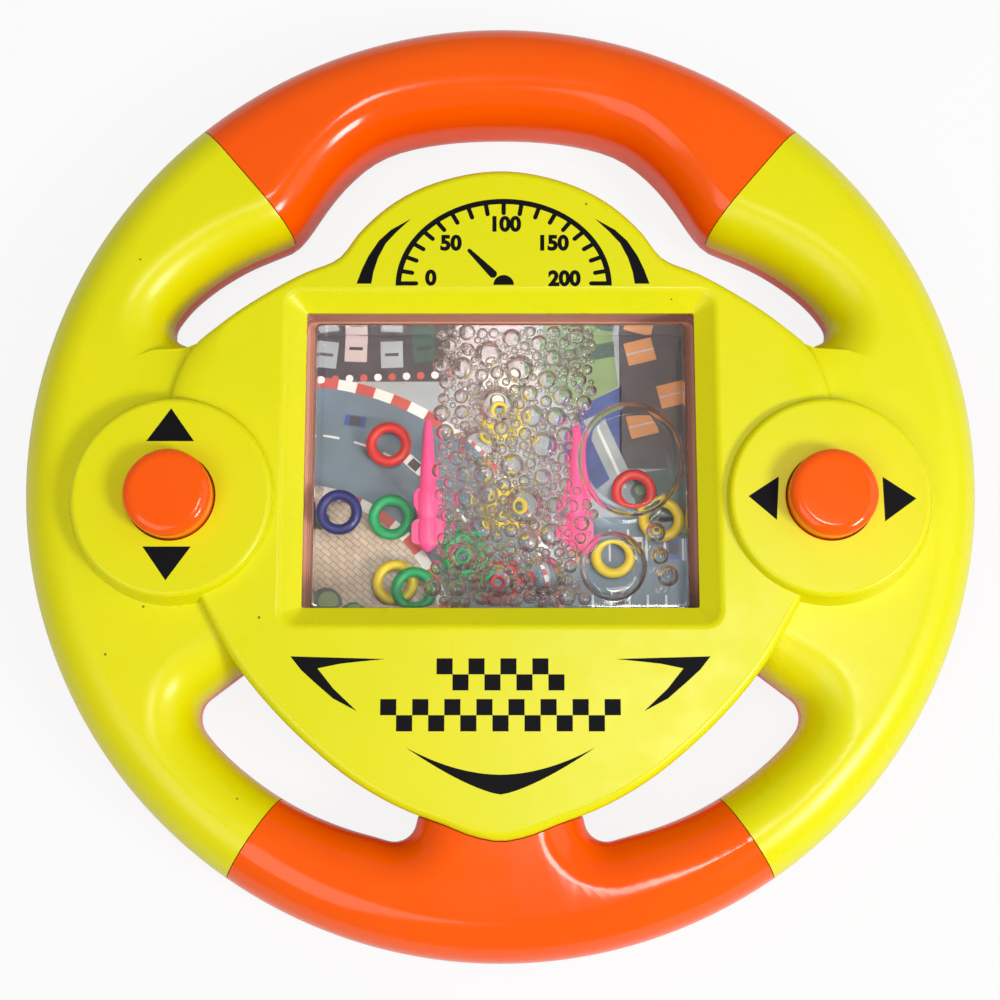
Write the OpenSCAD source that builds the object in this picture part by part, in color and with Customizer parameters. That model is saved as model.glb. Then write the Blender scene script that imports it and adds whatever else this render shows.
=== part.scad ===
// Handheld water game in the shape of a steering wheel, lying on its back.
// X points right, Y points to the top of the wheel and Z points to the player.
// Lengths are in millimetres. The origin is the middle of the wheel, on its back face.
// Angles round the wheel are counted from its top, positive to the left.

/* [Wheel] */
// Overall diameter of the wheel
wheel_d = 150; // [146:1:170]
// Depth of the rear half of the case
rear_depth = 10.5; // [10:0.5:14]
// Thickness of the moulded shells
wall = 2; // [1.6:0.1:2.4]
// Width of the gripping rim at the bottom of the wheel
rim_w = 17.6; // [16:0.2:19]
// How far the rounding of the rim reaches in from its edge
rim_round_w = 7.2; // [5:0.1:8]
// How deep the rounding of the rim is
rim_round_h = 8; // [5:0.5:8.5]
// How far the back of the rim stays above the surface the game lies on
rear_rim_lift = 0.8; // [0.5:0.1:1.5]

/* [Centre plate] */
// Typical radius of the raised centre plate
plate_r = 50; // [49:0.5:51]
// Height of the centre plate above the arms
plate_rise = 2.3; // [1:0.1:3]
// Chamfer round the edge of the centre plate
plate_edge = 1; // [0.5:0.1:1.2]

/* [Grips] */
// Half of the angle that the top grip cover spans
top_grip_half = 40.4; // [36:0.2:43]
// Half of the angle that the bottom grip cover spans
bottom_grip_half = 33.6; // [31:0.2:36]
// Gap between a grip cover and its neighbours
seam_gap = 0.15; // [0.1:0.05:0.3]
// Thickness of the closing rib at each end of a grip cover
grip_rib_t = 1.6; // [1.2:0.1:2]

/* [Openings] */
// Angle from the wheel's top to each tip of the top opening
top_opening_end = 67.2; // [64:0.2:68]
// Angle from the wheel's top to the upper end of each lower opening
low_opening_start = 127.5; // [126:0.5:130]
// Angle from the wheel's top to the lower end of each lower opening
low_opening_end = 168.3; // [165:0.1:169]
// Corner radius of the openings
opening_corner = 3.4; // [2.5:0.1:3.6]

/* [Window] */
// Width of the window at the tank
window_w = 60.8; // [56:0.2:61]
// Height of the window at the tank
window_h = 46.6; // [44:0.2:47]
// Distance from the wheel's middle up to the window's middle
window_y = 1.45; // [0.5:0.05:2.5]
// Width of the sloped border at the sides of the window
bevel_w = 3.3; // [2:0.1:4]
// Height of the sloped border above and below the window
bevel_h = 3.2; // [2:0.1:4]
// Depth of the sloped border round the window
bevel_depth = 2.5; // [2:0.1:3]
// Thickness of the frame's lip under the sloped border
lip_t = 0.5; // [0.4:0.1:1]
// Width of the frame round the sloped border
frame_w = 2.2; // [1.5:0.1:3]

/* [Tank] */
// Inside width of the water tank
tank_w = 58.6; // [57:0.2:60]
// Inside height of the water tank
tank_h = 45.6; // [44:0.1:47]
// Inside depth of the water tank
tank_depth = 10; // [9:0.5:14]
// Thickness of the tank's side walls
tank_wall = 1.8; // [1.4:0.1:2]
// Thickness of the tank's front wall
tank_front_t = 1.5; // [1.2:0.1:2]
// Thickness of the tank's back plate
tank_back_t = 1.6; // [1.2:0.1:2]
// Distance from the window's middle down to the tank's middle
tank_drop = 0.6; // [0:0.05:1]
// Corner radius of the tank
tank_corner = 1.5; // [1:0.1:2]
// Height of the support ribs under the picture card
support_h = 4.2; // [4:0.1:6]
// Thickness of the picture card behind the tank
card_t = 0.3; // [0.2:0.1:0.5]
// Gap left round the tank in its seat
seat_gap = 0.1; // [0.05:0.05:0.2]
// Thickness of the ribs inside the rear shell
rib_t = 1.2; // [1:0.1:1.6]

/* [Filler] */
// Radius of the filler hole
filler_r = 3; // [2.5:0.1:3.5]
// Wall of the filler neck
filler_wall = 1.2; // [1:0.1:1.5]
// Height of the filler's middle over the tank's middle
filler_up = 14; // [10:0.5:15]
// Radius of the plug's head
plug_head_r = 5; // [4.5:0.1:5.5]
// Thickness of the plug's head
plug_head_t = 1.6; // [1.2:0.1:1.8]
// Gap between the plug and the filler hole
plug_gap = 0.05; // [0.02:0.01:0.1]

/* [Pads and buttons] */
// Distance from the wheel's middle out to each pad's middle
pad_x = 50.2; // [49:0.1:51]
// Distance from the wheel's middle down to the pads' middles
pad_drop = 5.3; // [4:0.1:6]
// Radius of a pad's face
pad_r = 14.9; // [14:0.05:16]
// How far a pad's side slopes out towards its foot
pad_slope = 1; // [0.5:0.05:1.5]
// Height of the pads above the arms
pad_rise = 4; // [3:0.1:5]
// Radius of a button
button_r = 6.8; // [6:0.1:8]
// How far a button stands above its pad
button_proud = 4.5; // [4.2:0.1:6]
// Gap round a button in its hole
button_gap = 0.08; // [0.05:0.01:0.1]
// Width of the flange that keeps a button in
flange_w = 1.7; // [1.2:0.1:2]
// Thickness of the button's flange
flange_t = 1.2; // [1:0.1:1.5]
// Rounding of the button's top edge
button_round = 1.2; // [0.5:0.1:1.5]

/* [Pumps] */
// Outer radius of a pump cup
cup_r = 11; // [10.5:0.1:11.5]
// Height of a pump cup
cup_h = 11; // [10.5:0.1:11.5]
// Wall of a pump cup
cup_wall = 1.2; // [1:0.1:1.6]
// Outer radius of the bellows
bellows_r = 9; // [8:0.1:9.5]
// Depth of the folds of the bellows
fold_depth = 1.8; // [1:0.1:2]
// Number of folds of the bellows
folds = 3; // [2:1:3]
// Thickness of the bellows
bellows_t = 0.7; // [0.5:0.1:0.8]
// Angle of a pump's outlet below the horizontal
outlet_angle = 55; // [50:1:60]

/* [Air tubes] */
// Outer radius of a spigot that an air tube slips on
spigot_r = 1.6; // [1.4:0.05:1.8]
// Bore radius of the spigots and jets
spigot_bore_r = 0.8; // [0.6:0.05:1]
// Wall of an air tube
tube_wall = 0.6; // [0.4:0.1:0.8]
// Gap between an air tube and the spigot inside it
tube_fit = 0.03; // [0.02:0.01:0.1]
// Length of the spigots outside the pump and the tank
spigot_len = 3; // [2.5:0.5:4]
// Distance from the tank down to the tubes' level stretch
tube_below = 8.2; // [8:0.1:9]
// Bend radius of an air tube next to the pump
pump_bend_r = 8; // [6:0.5:9]
// Bend radius of an air tube next to the tank
tank_bend_r = 5; // [4:0.5:6]
// Height of the jets over the tank's floor
jet_rise = 2.3; // [2.3:0.1:4]
// How far a jet reaches into the tank
jet_reach = 1.8; // [1:0.1:3]
// Distance from the middle to the left jet
left_jet_x = 6.5; // [6:0.5:9]
// Distance from the middle to the right jet
right_jet_x = 7.5; // [6:0.5:9]

/* [Pegs] */
// Place of the left peg, in percent of half the tank's width
left_peg_place = 39; // [37:1:41]
// Place of the right peg, in percent of half the tank's width
right_peg_place = 41; // [39:1:43]
// Height of the lowest point of the pegs over the tank's middle
peg_foot_y = -13.4; // [-14:0.1:-13]
// Length of a peg from its foot to its tip
peg_len = 21.2; // [20:0.1:22]
// Width of a peg's body
peg_body_w = 3.4; // [3:0.1:3.6]
// Length of a peg's body above its foot
peg_body_len = 10.8; // [10:0.1:12]
// Width of the fins on a peg's body
peg_fin_w = 5; // [4.6:0.1:5.2]
// Width of a peg's spire at its tip
peg_tip_w = 1.2; // [1:0.1:1.5]
// Thickness of a peg
peg_t = 2.4; // [1.8:0.1:2.6]
// Height of a peg over the tank's floor
peg_rise = 4; // [3:0.1:5]
// Radius of the stud that carries a peg
peg_stud_r = 0.8; // [0.7:0.1:0.9]
// Distance from a peg's middle out to its stud
peg_stud_out = 0.7; // [0.6:0.1:0.8]

/* [Rings] */
// Outer diameter of a tossing ring
ring_od = 7.25; // [7:0.05:7.4]
// Diameter of the hole in a ring
ring_hole = 3.9; // [3.7:0.1:4]
// Gap between the rings and the tank's floor
ring_gap = 0.1; // [0.05:0.05:0.2]
// Gap between the outermost rings and the tank's walls
ring_wall_gap = 0.2; // [0.15:0.05:0.3]

/* [Screws] */
// Distance from the wheel's middle to the case screws
screw_circle_r = 66.5; // [65:0.5:67]
// Radius of a case screw's thread
screw_r = 1.3; // [1.2:0.05:1.5]
// Length of a case screw below its head
screw_len = 9; // [8:0.5:10]
// Radius of a case screw's head
screw_head_r = 2.5; // [2.3:0.1:2.6]
// Height of a case screw's head
screw_head_h = 1.6; // [1.4:0.1:1.8]
// Width of the cross slot in a screw's head
slot_w = 0.6; // [0.5:0.1:0.8]
// Depth of the cross slot in a screw's head
slot_depth = 0.8; // [0.6:0.1:1]
// Depth of plastic between a screw's head and the parting plane
screw_grip = 3.5; // [3:0.1:4]
// Wall round a screw in its post
post_wall = 1.6; // [1.4:0.1:1.8]
// How much narrower a pilot hole is than its screw
pilot_bite = 0.2; // [0.1:0.05:0.25]

/* [Hidden] */
$fn = 64;

YELLOW = "#E6E020";
ORANGE = "#FF5A05";
PINK = "#F0508A";
CLEAR = "#F2D9CC80";
STEEL = "#B8BABC";

// Cutters run this far past the faces that they open
over = 1;

// Stack of heights, from the back to the player
card_z = wall + support_h;
plate_z = card_z + card_t + seat_gap;
floor_z = plate_z + tank_back_t;
tank_top_z = floor_z + tank_depth + tank_front_t;
lip_z = tank_top_z + seat_gap;
centre_plate_z = lip_z + lip_t + bevel_depth;
arm_z = centre_plate_z - plate_rise;
pad_z = arm_z + pad_rise;
button_z = pad_z + button_proud;
jet_z = floor_z + jet_rise;

wheel_r = wheel_d / 2;
pad_y = -pad_drop;
front_h = arm_z - rear_depth;
front_plate_h = centre_plate_z - rear_depth;
rear_rim_h = rear_depth - rear_rim_lift;

// Rim width round the wheel, as [angle, percent more than rim_w]
RIM_SHAPE = [[0, -5], [16, -7], [21, -4], [27, 7], [36, 28], [39.5, 33], [42, 32], [51, 13],
    [60, -3], [66, -7], [118, -15], [132, -21], [141, -20], [150, -17], [156, -14], [162, -11],
    [180, -10]];
// Outline of the centre plate, as [angle, percent more than plate_r]
PLATE_SHAPE = [[0, -4.6], [12, -6], [21, -8.4], [30, -12.4], [37.5, -16.2], [45, -12.7],
    [54, -7.6], [63, -1.2], [69, 3.4], [78, 4.8], [95, 2.4], [115, 0.2], [129, 0.7], [138, 1.5],
    [147, 3.2], [156, 5.8], [165, 8.8], [180, 8.6]];
plate_step = 4;

// Openings as [start angle, end angle, number of steps along them]
TOP_OPENING = [-top_opening_end, top_opening_end, 36];
LEFT_OPENING = [low_opening_start, low_opening_end, 16];
RIGHT_OPENING = [-low_opening_end, -low_opening_start, 16];
// Angles of the rounding at which the flare of an opening has a ring of points
FLARE_STEPS = [0, 30, 60];
// The flare leaves the flat of the arms a little steeply, this much past its end
flare_past = 1.2;
opening_mid_r = 54;
plate_cover = wall + 1;

TOP_SCREWS = [-20, 20];
BOTTOM_SCREWS = [160, 200];
SIDE_SCREWS = [62, 118, 242, 298];
post_r = screw_r + post_wall;
pilot_r = screw_r - pilot_bite;
post_top_z = arm_z - 1.4;
screw_seat_z = rear_depth - screw_grip;
screw_head_gap = 0.3;

tank_y = window_y - tank_drop;
tank_out_w = tank_w + 2 * tank_wall;
tank_out_h = tank_h + 2 * tank_wall;
tank_bottom_y = tank_y - tank_out_h / 2;
level_y = tank_bottom_y - tube_below;
filler_y = tank_y + filler_up;
neck_r = filler_r + filler_wall;
neck_z = 0.6 + plug_head_t;
access_gap = 0.6;

flange_top_z = pad_z - wall - 0.1;
flange_r = button_r + flange_w;
collar_gap = 0.4;
collar_in_r = max(flange_r, bellows_r) + collar_gap;
collar_wall = 1.2;
collar_drop = 3;
button_wall = 1.4;
pusher_r = 2.2;
cup_top_z = wall + cup_h;
bellows_top_z = flange_top_z - flange_t - 0.3;

hose_sides = 12;
bend_steps = 6;
tube_in_r = spigot_r + tube_fit;
tube_out_r = tube_in_r + tube_wall;
seat_wall = 1.2;
ring_tube_r = (ring_od - ring_hole) / 4;
ring_centre_r = (ring_od + ring_hole) / 4;
ring_level = 2 * ring_tube_r + ring_gap;

// How far a ring's middle can be from the tank's middle, to the right and up
RING_ROOM = [tank_w / 2, tank_h / 2] - (ring_od / 2 + ring_wall_gap) * [1, 1];
// Rings as [name, colour, right and up in percent of the room, layer over the tank's floor]
RINGS = [
    ["red_ring_1", "#D8261C", -70, 24, 0],
    ["red_ring_2", "#D8261C", 0, -94, 0],
    ["red_ring_3", "#D8261C", 83, -17, 1],
    ["green_ring_1", "#10A860", -68, -38, 0],
    ["green_ring_2", "#10A860", -53, -100, 1],
    ["green_ring_3", "#10A860", -22, -71, 1],
    ["yellow_ring_1", "#E8D21E", -65, -93, 0],
    ["yellow_ring_2", "#E8D21E", 5, -30, 0],
    ["yellow_ring_3", "#E8D21E", 2, 46, 0],
    ["yellow_ring_4", "#E8D21E", 70, -70, 0],
    ["yellow_ring_5", "#E8D21E", 100, -40, 0],
    ["navy_ring", "#141C6E", -100, -35, 1]];

// Point at a distance from the wheel's middle, at an angle from the wheel's top
function polar(t, r) = [-r * sin(t), r * cos(t)];
// Angle from the wheel's top, the same on both sides
function fold(t) = let (a = abs(t) % 360) a > 180 ? 360 - a : a;
// Smooth curve through a list of [angle, value]
function slope(c, k) = (k == 0 || k == len(c) - 1) ? 0 :
    (c[k + 1][1] - c[k - 1][1]) / (c[k + 1][0] - c[k - 1][0]);
function span(c, a) = max([for (k = [0 : len(c) - 2]) if (a >= c[k][0]) k]);
function curve(c, a) =
    let (k = span(c, a), w = c[k + 1][0] - c[k][0], u = (a - c[k][0]) / w, v = 1 - u)
    v * v * (1 + 2 * u) * c[k][1] + u * u * (3 - 2 * u) * c[k + 1][1]
    + w * u * v * (v * slope(c, k) - u * slope(c, k + 1));

function percent(share) = share / 100;
function plate_edge_r(t) = plate_r * (1 + percent(curve(PLATE_SHAPE, fold(t))));
function rim_inner_r(t) = wheel_r - rim_w * (1 + percent(curve(RIM_SHAPE, fold(t))));
function plate_outline(grow) = [for (t = [plate_step / 2 : plate_step : 360])
    polar(t, plate_edge_r(t) + grow)];

// Quarter ellipse of the rim's rounding as [distance from the edge, height]
function round_point(a, inset) = [rim_round_w - (rim_round_w - inset) * cos(a),
    (rim_round_h - inset) * sin(a) - rim_round_h];
function rim_profile(h, inset) = [for (a = [0 : 15 : 90]) [0, h] + round_point(a, inset)];
function flare_end(inset) = let (p = round_point(FLARE_STEPS[2], inset))
    p + flare_past * (round_point(90, inset) - p);
function flare(h, inset) = concat([[inset, -over]],
    [for (a = FLARE_STEPS) [0, h] + round_point(a, inset)], [[0, h] + flare_end(inset)]);

// How far a rounded corner holds the outline back, at a distance from the opening's end
function corner_drop(d, c) = d >= c ? 0 : c - sqrt(c * c - (c - d) * (c - d));
function as_angle(len) = len / opening_mid_r * 180 / PI;
// Outline of an opening, grown on all sides but the one that the centre plate covers
function opening_outline(o, grow) =
    let (a0 = o[0] - as_angle(grow), a1 = o[1] + as_angle(grow), n = o[2],
        c = opening_corner + grow,
        turns = [for (i = [0 : n]) a0 + (a1 - a0) * (1 - cos(180 * i / n)) / 2])
    concat([for (t = turns) polar(t, rim_inner_r(t) + grow
            - corner_drop(min(t - a0, a1 - t) / as_angle(1), c))],
        [for (i = [n : -1 : 0]) polar(turns[i], plate_edge_r(turns[i]) - plate_cover)]);

// Solid through a stack of outlines, lowest first. They have equal, even counts of points,
// and the point i and the i-th from the end lie opposite each other, so strips close the ends.
module stack(outlines, heights) {
    n = len(outlines[0]);
    levels = len(outlines);
    points = [for (k = [0 : levels - 1]) for (p = outlines[k]) [p[0], p[1], heights[k]]];
    sides = [for (k = [0 : levels - 2]) for (i = [0 : n - 1])
        [k * n + i, (k + 1) * n + i, (k + 1) * n + (i + 1) % n, k * n + (i + 1) % n]];
    bottom = [for (i = [0 : n / 2 - 2]) [i, i + 1, n - 2 - i, n - 1 - i]];
    top = [for (f = bottom) [for (k = [3 : -1 : 0]) (levels - 1) * n + f[k]]];
    polyhedron(points, concat(bottom, sides, top));
}

module opening_cut(o, h, inset) {
    levels = flare(h, inset);
    stack([for (l = levels) opening_outline(o, l[0])], [for (l = levels) l[1]]);
}

// Rim and arms above the parting plane, or the hollow in them where inset is the wall
module wheel_half(h, inset, openings) {
    base = inset > 0 ? -over : 0;
    edge = rim_profile(h, inset);
    difference() {
        rotate_extrude($fn = 180)
            polygon(concat([[0, base], [wheel_r - inset, base]],
                [for (p = edge) [wheel_r - p[0], p[1]]], [[0, h - inset]]));
        for (o = openings)
            opening_cut(o, h, inset);
    }
}

// Centre plate above the parting plane, with its chamfered edge
module plate_block(h) {
    stack([plate_outline(0), plate_outline(0), plate_outline(-plate_edge)], [0, h - plate_edge, h]);
}

// Hollow under the centre plate
module plate_hollow(h) {
    translate([0, 0, -over])
        linear_extrude(h - wall + over)
            polygon(plate_outline(-wall));
}

// Wedge of the wheel round an angle, with its sides moved in by a margin
module wedge(middle, half, margin) {
    reach = wheel_d;
    rotate(middle)
        translate([0, margin / sin(half), -2 * over])
            linear_extrude(pad_z + 4 * over)
                polygon([[0, 0], polar(-half, reach), polar(0, reach * 1.2), polar(half, reach)]);
}

module rounded_box(w, h, r) {
    hull()
        for (x = [-1, 1], y = [-1, 1])
            translate([x * (w / 2 - r), y * (h / 2 - r)])
                circle(r);
}

module at_screws(angles) {
    for (t = angles)
        translate(concat(polar(t, screw_circle_r), [0]))
            children();
}

module at_pads(z) {
    for (side = [-1, 1])
        translate([side * pad_x, pad_y, z])
            children();
}

module posts(angles) {
    at_screws(angles)
        translate([0, 0, rear_depth])
            cylinder(r = post_r, h = post_top_z - rear_depth);
}

module pilots(angles) {
    at_screws(angles)
        translate([0, 0, rear_depth - over])
            cylinder(r = pilot_r, h = screw_len - (rear_depth - screw_seat_z) + 2 * over);
}

module front_shell() {
    color(YELLOW)
    difference() {
        union() {
            difference() {
                front_outside();
                front_hollow();
            }
            posts(SIDE_SCREWS);
            window_frame();
            button_collars();
        }
        window_cut();
        at_pads(arm_z)
            cylinder(r = button_r + button_gap, h = pad_rise + over);
        pilots(SIDE_SCREWS);
    }
}

module front_outside() {
    translate([0, 0, rear_depth]) {
        difference() {
            wheel_half(front_h, 0, [TOP_OPENING, LEFT_OPENING, RIGHT_OPENING]);
            wedge(0, top_grip_half, -seam_gap);
            wedge(180, bottom_grip_half, -seam_gap);
        }
        plate_block(front_plate_h);
    }
    at_pads(arm_z - wall)
        cylinder(r1 = pad_r + pad_slope * (pad_rise + wall) / pad_rise, r2 = pad_r,
            h = pad_rise + wall);
}

module front_hollow() {
    translate([0, 0, rear_depth]) {
        wheel_half(front_h, wall, [TOP_OPENING, LEFT_OPENING, RIGHT_OPENING]);
        plate_hollow(front_plate_h);
    }
    at_pads(rear_depth)
        cylinder(r = pad_r - wall, h = pad_z - wall - rear_depth);
}

module window_frame() {
    translate([0, 0, lip_z])
        linear_extrude(centre_plate_z - lip_z - wall / 2)
            intersection() {
                polygon(plate_outline(-plate_edge));
                translate([0, window_y])
                    square([window_w + 2 * (bevel_w + frame_w), window_h + 2 * (bevel_h + frame_w)],
                        center = true);
            }
}

// Corners of the window, with its border opened to a share of its width
function window_outline(share) = [for (c = [[-1, -1], [1, -1], [1, 1], [-1, 1]])
    [c[0] * (window_w / 2 + share * bevel_w), window_y + c[1] * (window_h / 2 + share * bevel_h)]];

module window_cut() {
    stack([window_outline(0), window_outline(0), window_outline(1 + over / bevel_depth)],
        [lip_z - over, lip_z + lip_t, centre_plate_z + over]);
}

module button_collars() {
    low = flange_top_z - flange_t - collar_drop;
    h = pad_z - wall / 2 - low;
    at_pads(low)
        difference() {
            cylinder(r = collar_in_r + collar_wall, h = h);
            translate([0, 0, -over])
                cylinder(r = collar_in_r, h = pad_z - wall - low + over);
        }
}

module grip_cover(middle, half, openings, screws) {
    color(ORANGE)
    difference() {
        union() {
            translate([0, 0, rear_depth])
                difference() {
                    intersection() {
                        wheel_half(front_h, 0, openings);
                        wedge(middle, half, 0);
                    }
                    intersection() {
                        wheel_half(front_h, wall, openings);
                        wedge(middle, half, grip_rib_t);
                    }
                }
            posts(screws);
        }
        translate([0, 0, rear_depth - over])
            linear_extrude(front_plate_h + 2 * over)
                polygon(plate_outline(seam_gap));
        pilots(screws);
    }
}

module top_grip_cover() {
    grip_cover(0, top_grip_half, [TOP_OPENING], TOP_SCREWS);
}

module bottom_grip_cover() {
    grip_cover(180, bottom_grip_half, [LEFT_OPENING, RIGHT_OPENING], BOTTOM_SCREWS);
}

module rear_shell() {
    color(ORANGE)
    difference() {
        union() {
            difference() {
                rear_outside();
                rear_hollow();
            }
            rear_posts();
            tank_seat();
            pump_seats();
        }
        screw_holes();
        translate([0, filler_y, -over])
            cylinder(r = plug_head_r + access_gap, h = card_z + 2 * over);
    }
}

module rear_outside() {
    translate([0, 0, rear_depth])
        mirror([0, 0, 1]) {
            wheel_half(rear_rim_h, 0, [TOP_OPENING, LEFT_OPENING, RIGHT_OPENING]);
            plate_block(rear_depth);
        }
}

module rear_hollow() {
    translate([0, 0, rear_depth])
        mirror([0, 0, 1]) {
            wheel_half(rear_rim_h, wall, [TOP_OPENING, LEFT_OPENING, RIGHT_OPENING]);
            plate_hollow(rear_depth);
        }
    at_pads(wall)
        cylinder(r = cup_r + seat_gap, h = rear_depth);
}

module rear_posts() {
    at_screws(concat(TOP_SCREWS, SIDE_SCREWS, BOTTOM_SCREWS))
        translate([0, 0, rear_rim_lift + wall / 2])
            cylinder(r = screw_head_r + screw_head_gap + 1, h = rear_depth - rear_rim_lift - wall / 2);
}

module screw_holes() {
    at_screws(concat(TOP_SCREWS, SIDE_SCREWS, BOTTOM_SCREWS)) {
        translate([0, 0, -over])
            cylinder(r = screw_head_r + screw_head_gap, h = screw_seat_z + over);
        cylinder(r = screw_r + screw_head_gap, h = rear_depth + over);
    }
}

// Ribs that hold the tank all round, and two that carry the card and the tank
module tank_seat() {
    rib_top_z = jet_z - tube_out_r - 0.3;
    translate([0, tank_y, wall / 2])
        linear_extrude(rib_top_z - wall / 2)
            difference() {
                rounded_box(tank_out_w + 2 * (seat_gap + rib_t), tank_out_h + 2 * (seat_gap + rib_t),
                    tank_corner + rib_t);
                rounded_box(tank_out_w + 2 * seat_gap, tank_out_h + 2 * seat_gap, tank_corner);
            }
    for (y = [-1, 1])
        translate([0, tank_y + y * tank_h / 5, (wall / 2 + card_z) / 2])
            cube([tank_out_w + 2 * rib_t, rib_t, card_z - wall / 2], center = true);
}

module pump_seats() {
    at_pads(wall / 2)
        difference() {
            cylinder(r = cup_r + seat_gap + seat_wall, h = cup_h / 2);
            translate([0, 0, wall / 2])
                cylinder(r = cup_r + seat_gap, h = cup_h);
        }
}

module case_screws() {
    color(STEEL)
    at_screws(concat(TOP_SCREWS, SIDE_SCREWS, BOTTOM_SCREWS))
        translate([0, 0, screw_seat_z])
            difference() {
                union() {
                    translate([0, 0, -screw_head_h])
                        cylinder(r = screw_head_r, h = screw_head_h);
                    cylinder(r = screw_r, h = screw_len);
                }
                for (turn = [0, 90])
                    rotate(turn)
                        translate([0, 0, -screw_head_h])
                            cube([2 * screw_head_r, slot_w, 2 * slot_depth], center = true);
            }
}

module tank_body() {
    color(CLEAR)
    translate([0, tank_y, floor_z])
        difference() {
            linear_extrude(tank_depth + tank_front_t)
                rounded_box(tank_out_w, tank_out_h, tank_corner);
            translate([0, 0, -over])
                linear_extrude(tank_depth + over)
                    square([tank_w, tank_h], center = true);
            for (x = [-left_jet_x, right_jet_x])
                translate([x, -tank_h / 2 + over, jet_rise])
                    rotate([90, 0, 0])
                        cylinder(r = spigot_r, h = tank_wall + 2 * over);
        }
}

module tank_back() {
    color(CLEAR)
    difference() {
        union() {
            translate([0, tank_y, plate_z])
                linear_extrude(tank_back_t)
                    rounded_box(tank_out_w, tank_out_h, tank_corner);
            translate([0, filler_y, neck_z])
                cylinder(r = neck_r, h = plate_z - neck_z + tank_back_t / 2);
        }
        translate([0, filler_y, neck_z - over])
            cylinder(r = filler_r, h = floor_z - neck_z + 2 * over);
    }
}

module picture_card() {
    color("#8F9AA0")
    translate([0, 0, card_z])
        linear_extrude(card_t)
            difference() {
                translate([0, tank_y])
                    rounded_box(tank_out_w, tank_out_h, tank_corner);
                translate([0, filler_y])
                    circle(neck_r + seat_gap);
            }
}

module filler_plug() {
    color("#E9E6DE")
    translate([0, filler_y, neck_z]) {
        translate([0, 0, -plug_head_t])
            cylinder(r = plug_head_r, h = plug_head_t);
        cylinder(r = filler_r - plug_gap, h = floor_z - neck_z - 0.6);
    }
}

function peg_half_outline() = [
    [0, 0],
    [peg_body_w / 2, 1.2],
    [peg_fin_w / 2, 1.2],
    [peg_fin_w / 2, 4.4],
    [peg_body_w / 2, 5.4],
    [peg_body_w / 2, 7.2],
    [peg_fin_w / 2 - 0.3, 8],
    [peg_fin_w / 2 - 0.3, 9.6],
    [peg_body_w / 2 - 0.4, peg_body_len],
    [peg_tip_w, peg_body_len + 1.4],
    [peg_tip_w / 2, peg_len - peg_tip_w / 2],
    [0, peg_len]];

module peg(x) {
    half = peg_half_outline();
    last = len(half) - 1;
    left_half = [for (i = [last - 1 : -1 : 1]) [-half[i][0], half[i][1]]];
    color(PINK)
    translate([x, tank_y + peg_foot_y, floor_z]) {
        translate([0, 0, peg_rise])
            linear_extrude(peg_t)
                polygon(concat(half, left_half));
        translate([sign(x) * peg_stud_out, peg_body_len / 2, 0])
            cylinder(r = peg_stud_r, h = peg_rise + peg_t / 2);
    }
}

module left_peg() {
    peg(-percent(left_peg_place) * tank_w / 2);
}

module right_peg() {
    peg(percent(right_peg_place) * tank_w / 2);
}

module jet(x) {
    len_in = tank_wall + jet_reach;
    color(CLEAR)
    translate([x, tank_bottom_y, jet_z])
        rotate([-90, 0, 0])
            difference() {
                translate([0, 0, -spigot_len])
                    cylinder(r = spigot_r, h = spigot_len + len_in);
                translate([0, 0, -spigot_len - over])
                    cylinder(r = spigot_bore_r, h = spigot_len + len_in + 2 * over);
            }
}

module left_jet() {
    jet(-left_jet_x);
}

module right_jet() {
    jet(right_jet_x);
}

module pump_cup(side) {
    color("#E9E6DE")
    translate([side * pad_x, pad_y, wall])
        mirror([side > 0 ? 1 : 0, 0, 0])
            difference() {
                union() {
                    cylinder(r = cup_r, h = cup_h);
                    outlet(cup_r - cup_wall / 2, spigot_r, spigot_len + cup_wall / 2);
                }
                translate([0, 0, cup_wall])
                    cylinder(r = cup_r - cup_wall, h = cup_h);
                outlet(cup_r - 2 * cup_wall, spigot_bore_r, spigot_len + 2 * cup_wall + over);
            }
}

// Cylinder along the pump's outlet, from a distance to the pump's middle
module outlet(start, r, h) {
    translate([0, 0, jet_z - wall])
        rotate([0, 0, -outlet_angle])
            translate([start, 0, 0])
                rotate([0, 90, 0])
                    cylinder(r = r, h = h);
}

module left_pump_cup() {
    pump_cup(-1);
}

module right_pump_cup() {
    pump_cup(1);
}

// Half section of the bellows: a foot on the cup's rim, zigzag folds and a closed top
module bellows(side) {
    height = bellows_top_z - cup_top_z;
    fold_h = (height - 2 * bellows_t) / (2 * folds);
    zigzag = [for (i = [0 : 2 * folds])
        [bellows_r - (i % 2 == 0 ? fold_depth : 0), bellows_t + i * fold_h]];
    inside = [for (i = [2 * folds : -1 : 0]) [zigzag[i][0] - bellows_t * 1.2, zigzag[i][1]]];
    last = 2 * folds;
    color("#E9E6DE")
    translate([side * pad_x, pad_y, cup_top_z])
        rotate_extrude()
            polygon(concat(
                [[cup_r, 0], [cup_r, bellows_t]],
                zigzag,
                [[zigzag[last][0], height], [0, height], [0, zigzag[last][1]]],
                inside,
                [[zigzag[0][0] - bellows_t * 1.2, 0]]));
}

module left_bellows() {
    bellows(-1);
}

module right_bellows() {
    bellows(1);
}

// Half section of a button: domed edge, hollow inside, with a pusher in the middle
module button(side) {
    top = button_z;
    foot = flange_top_z - flange_t;
    edge = [for (a = [0 : 15 : 90])
        [button_r - button_round * (1 - cos(a)), top - button_round * (1 - sin(a))]];
    color(ORANGE)
    translate([side * pad_x, pad_y, 0])
        rotate_extrude()
            polygon(concat(
                [[0, foot], [pusher_r, foot], [pusher_r, top - button_wall],
                    [button_r - button_wall, top - button_wall - button_round],
                    [button_r - button_wall, foot], [flange_r, foot],
                    [flange_r, flange_top_z], [button_r, flange_top_z]],
                edge,
                [[0, top]]));
}

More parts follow.
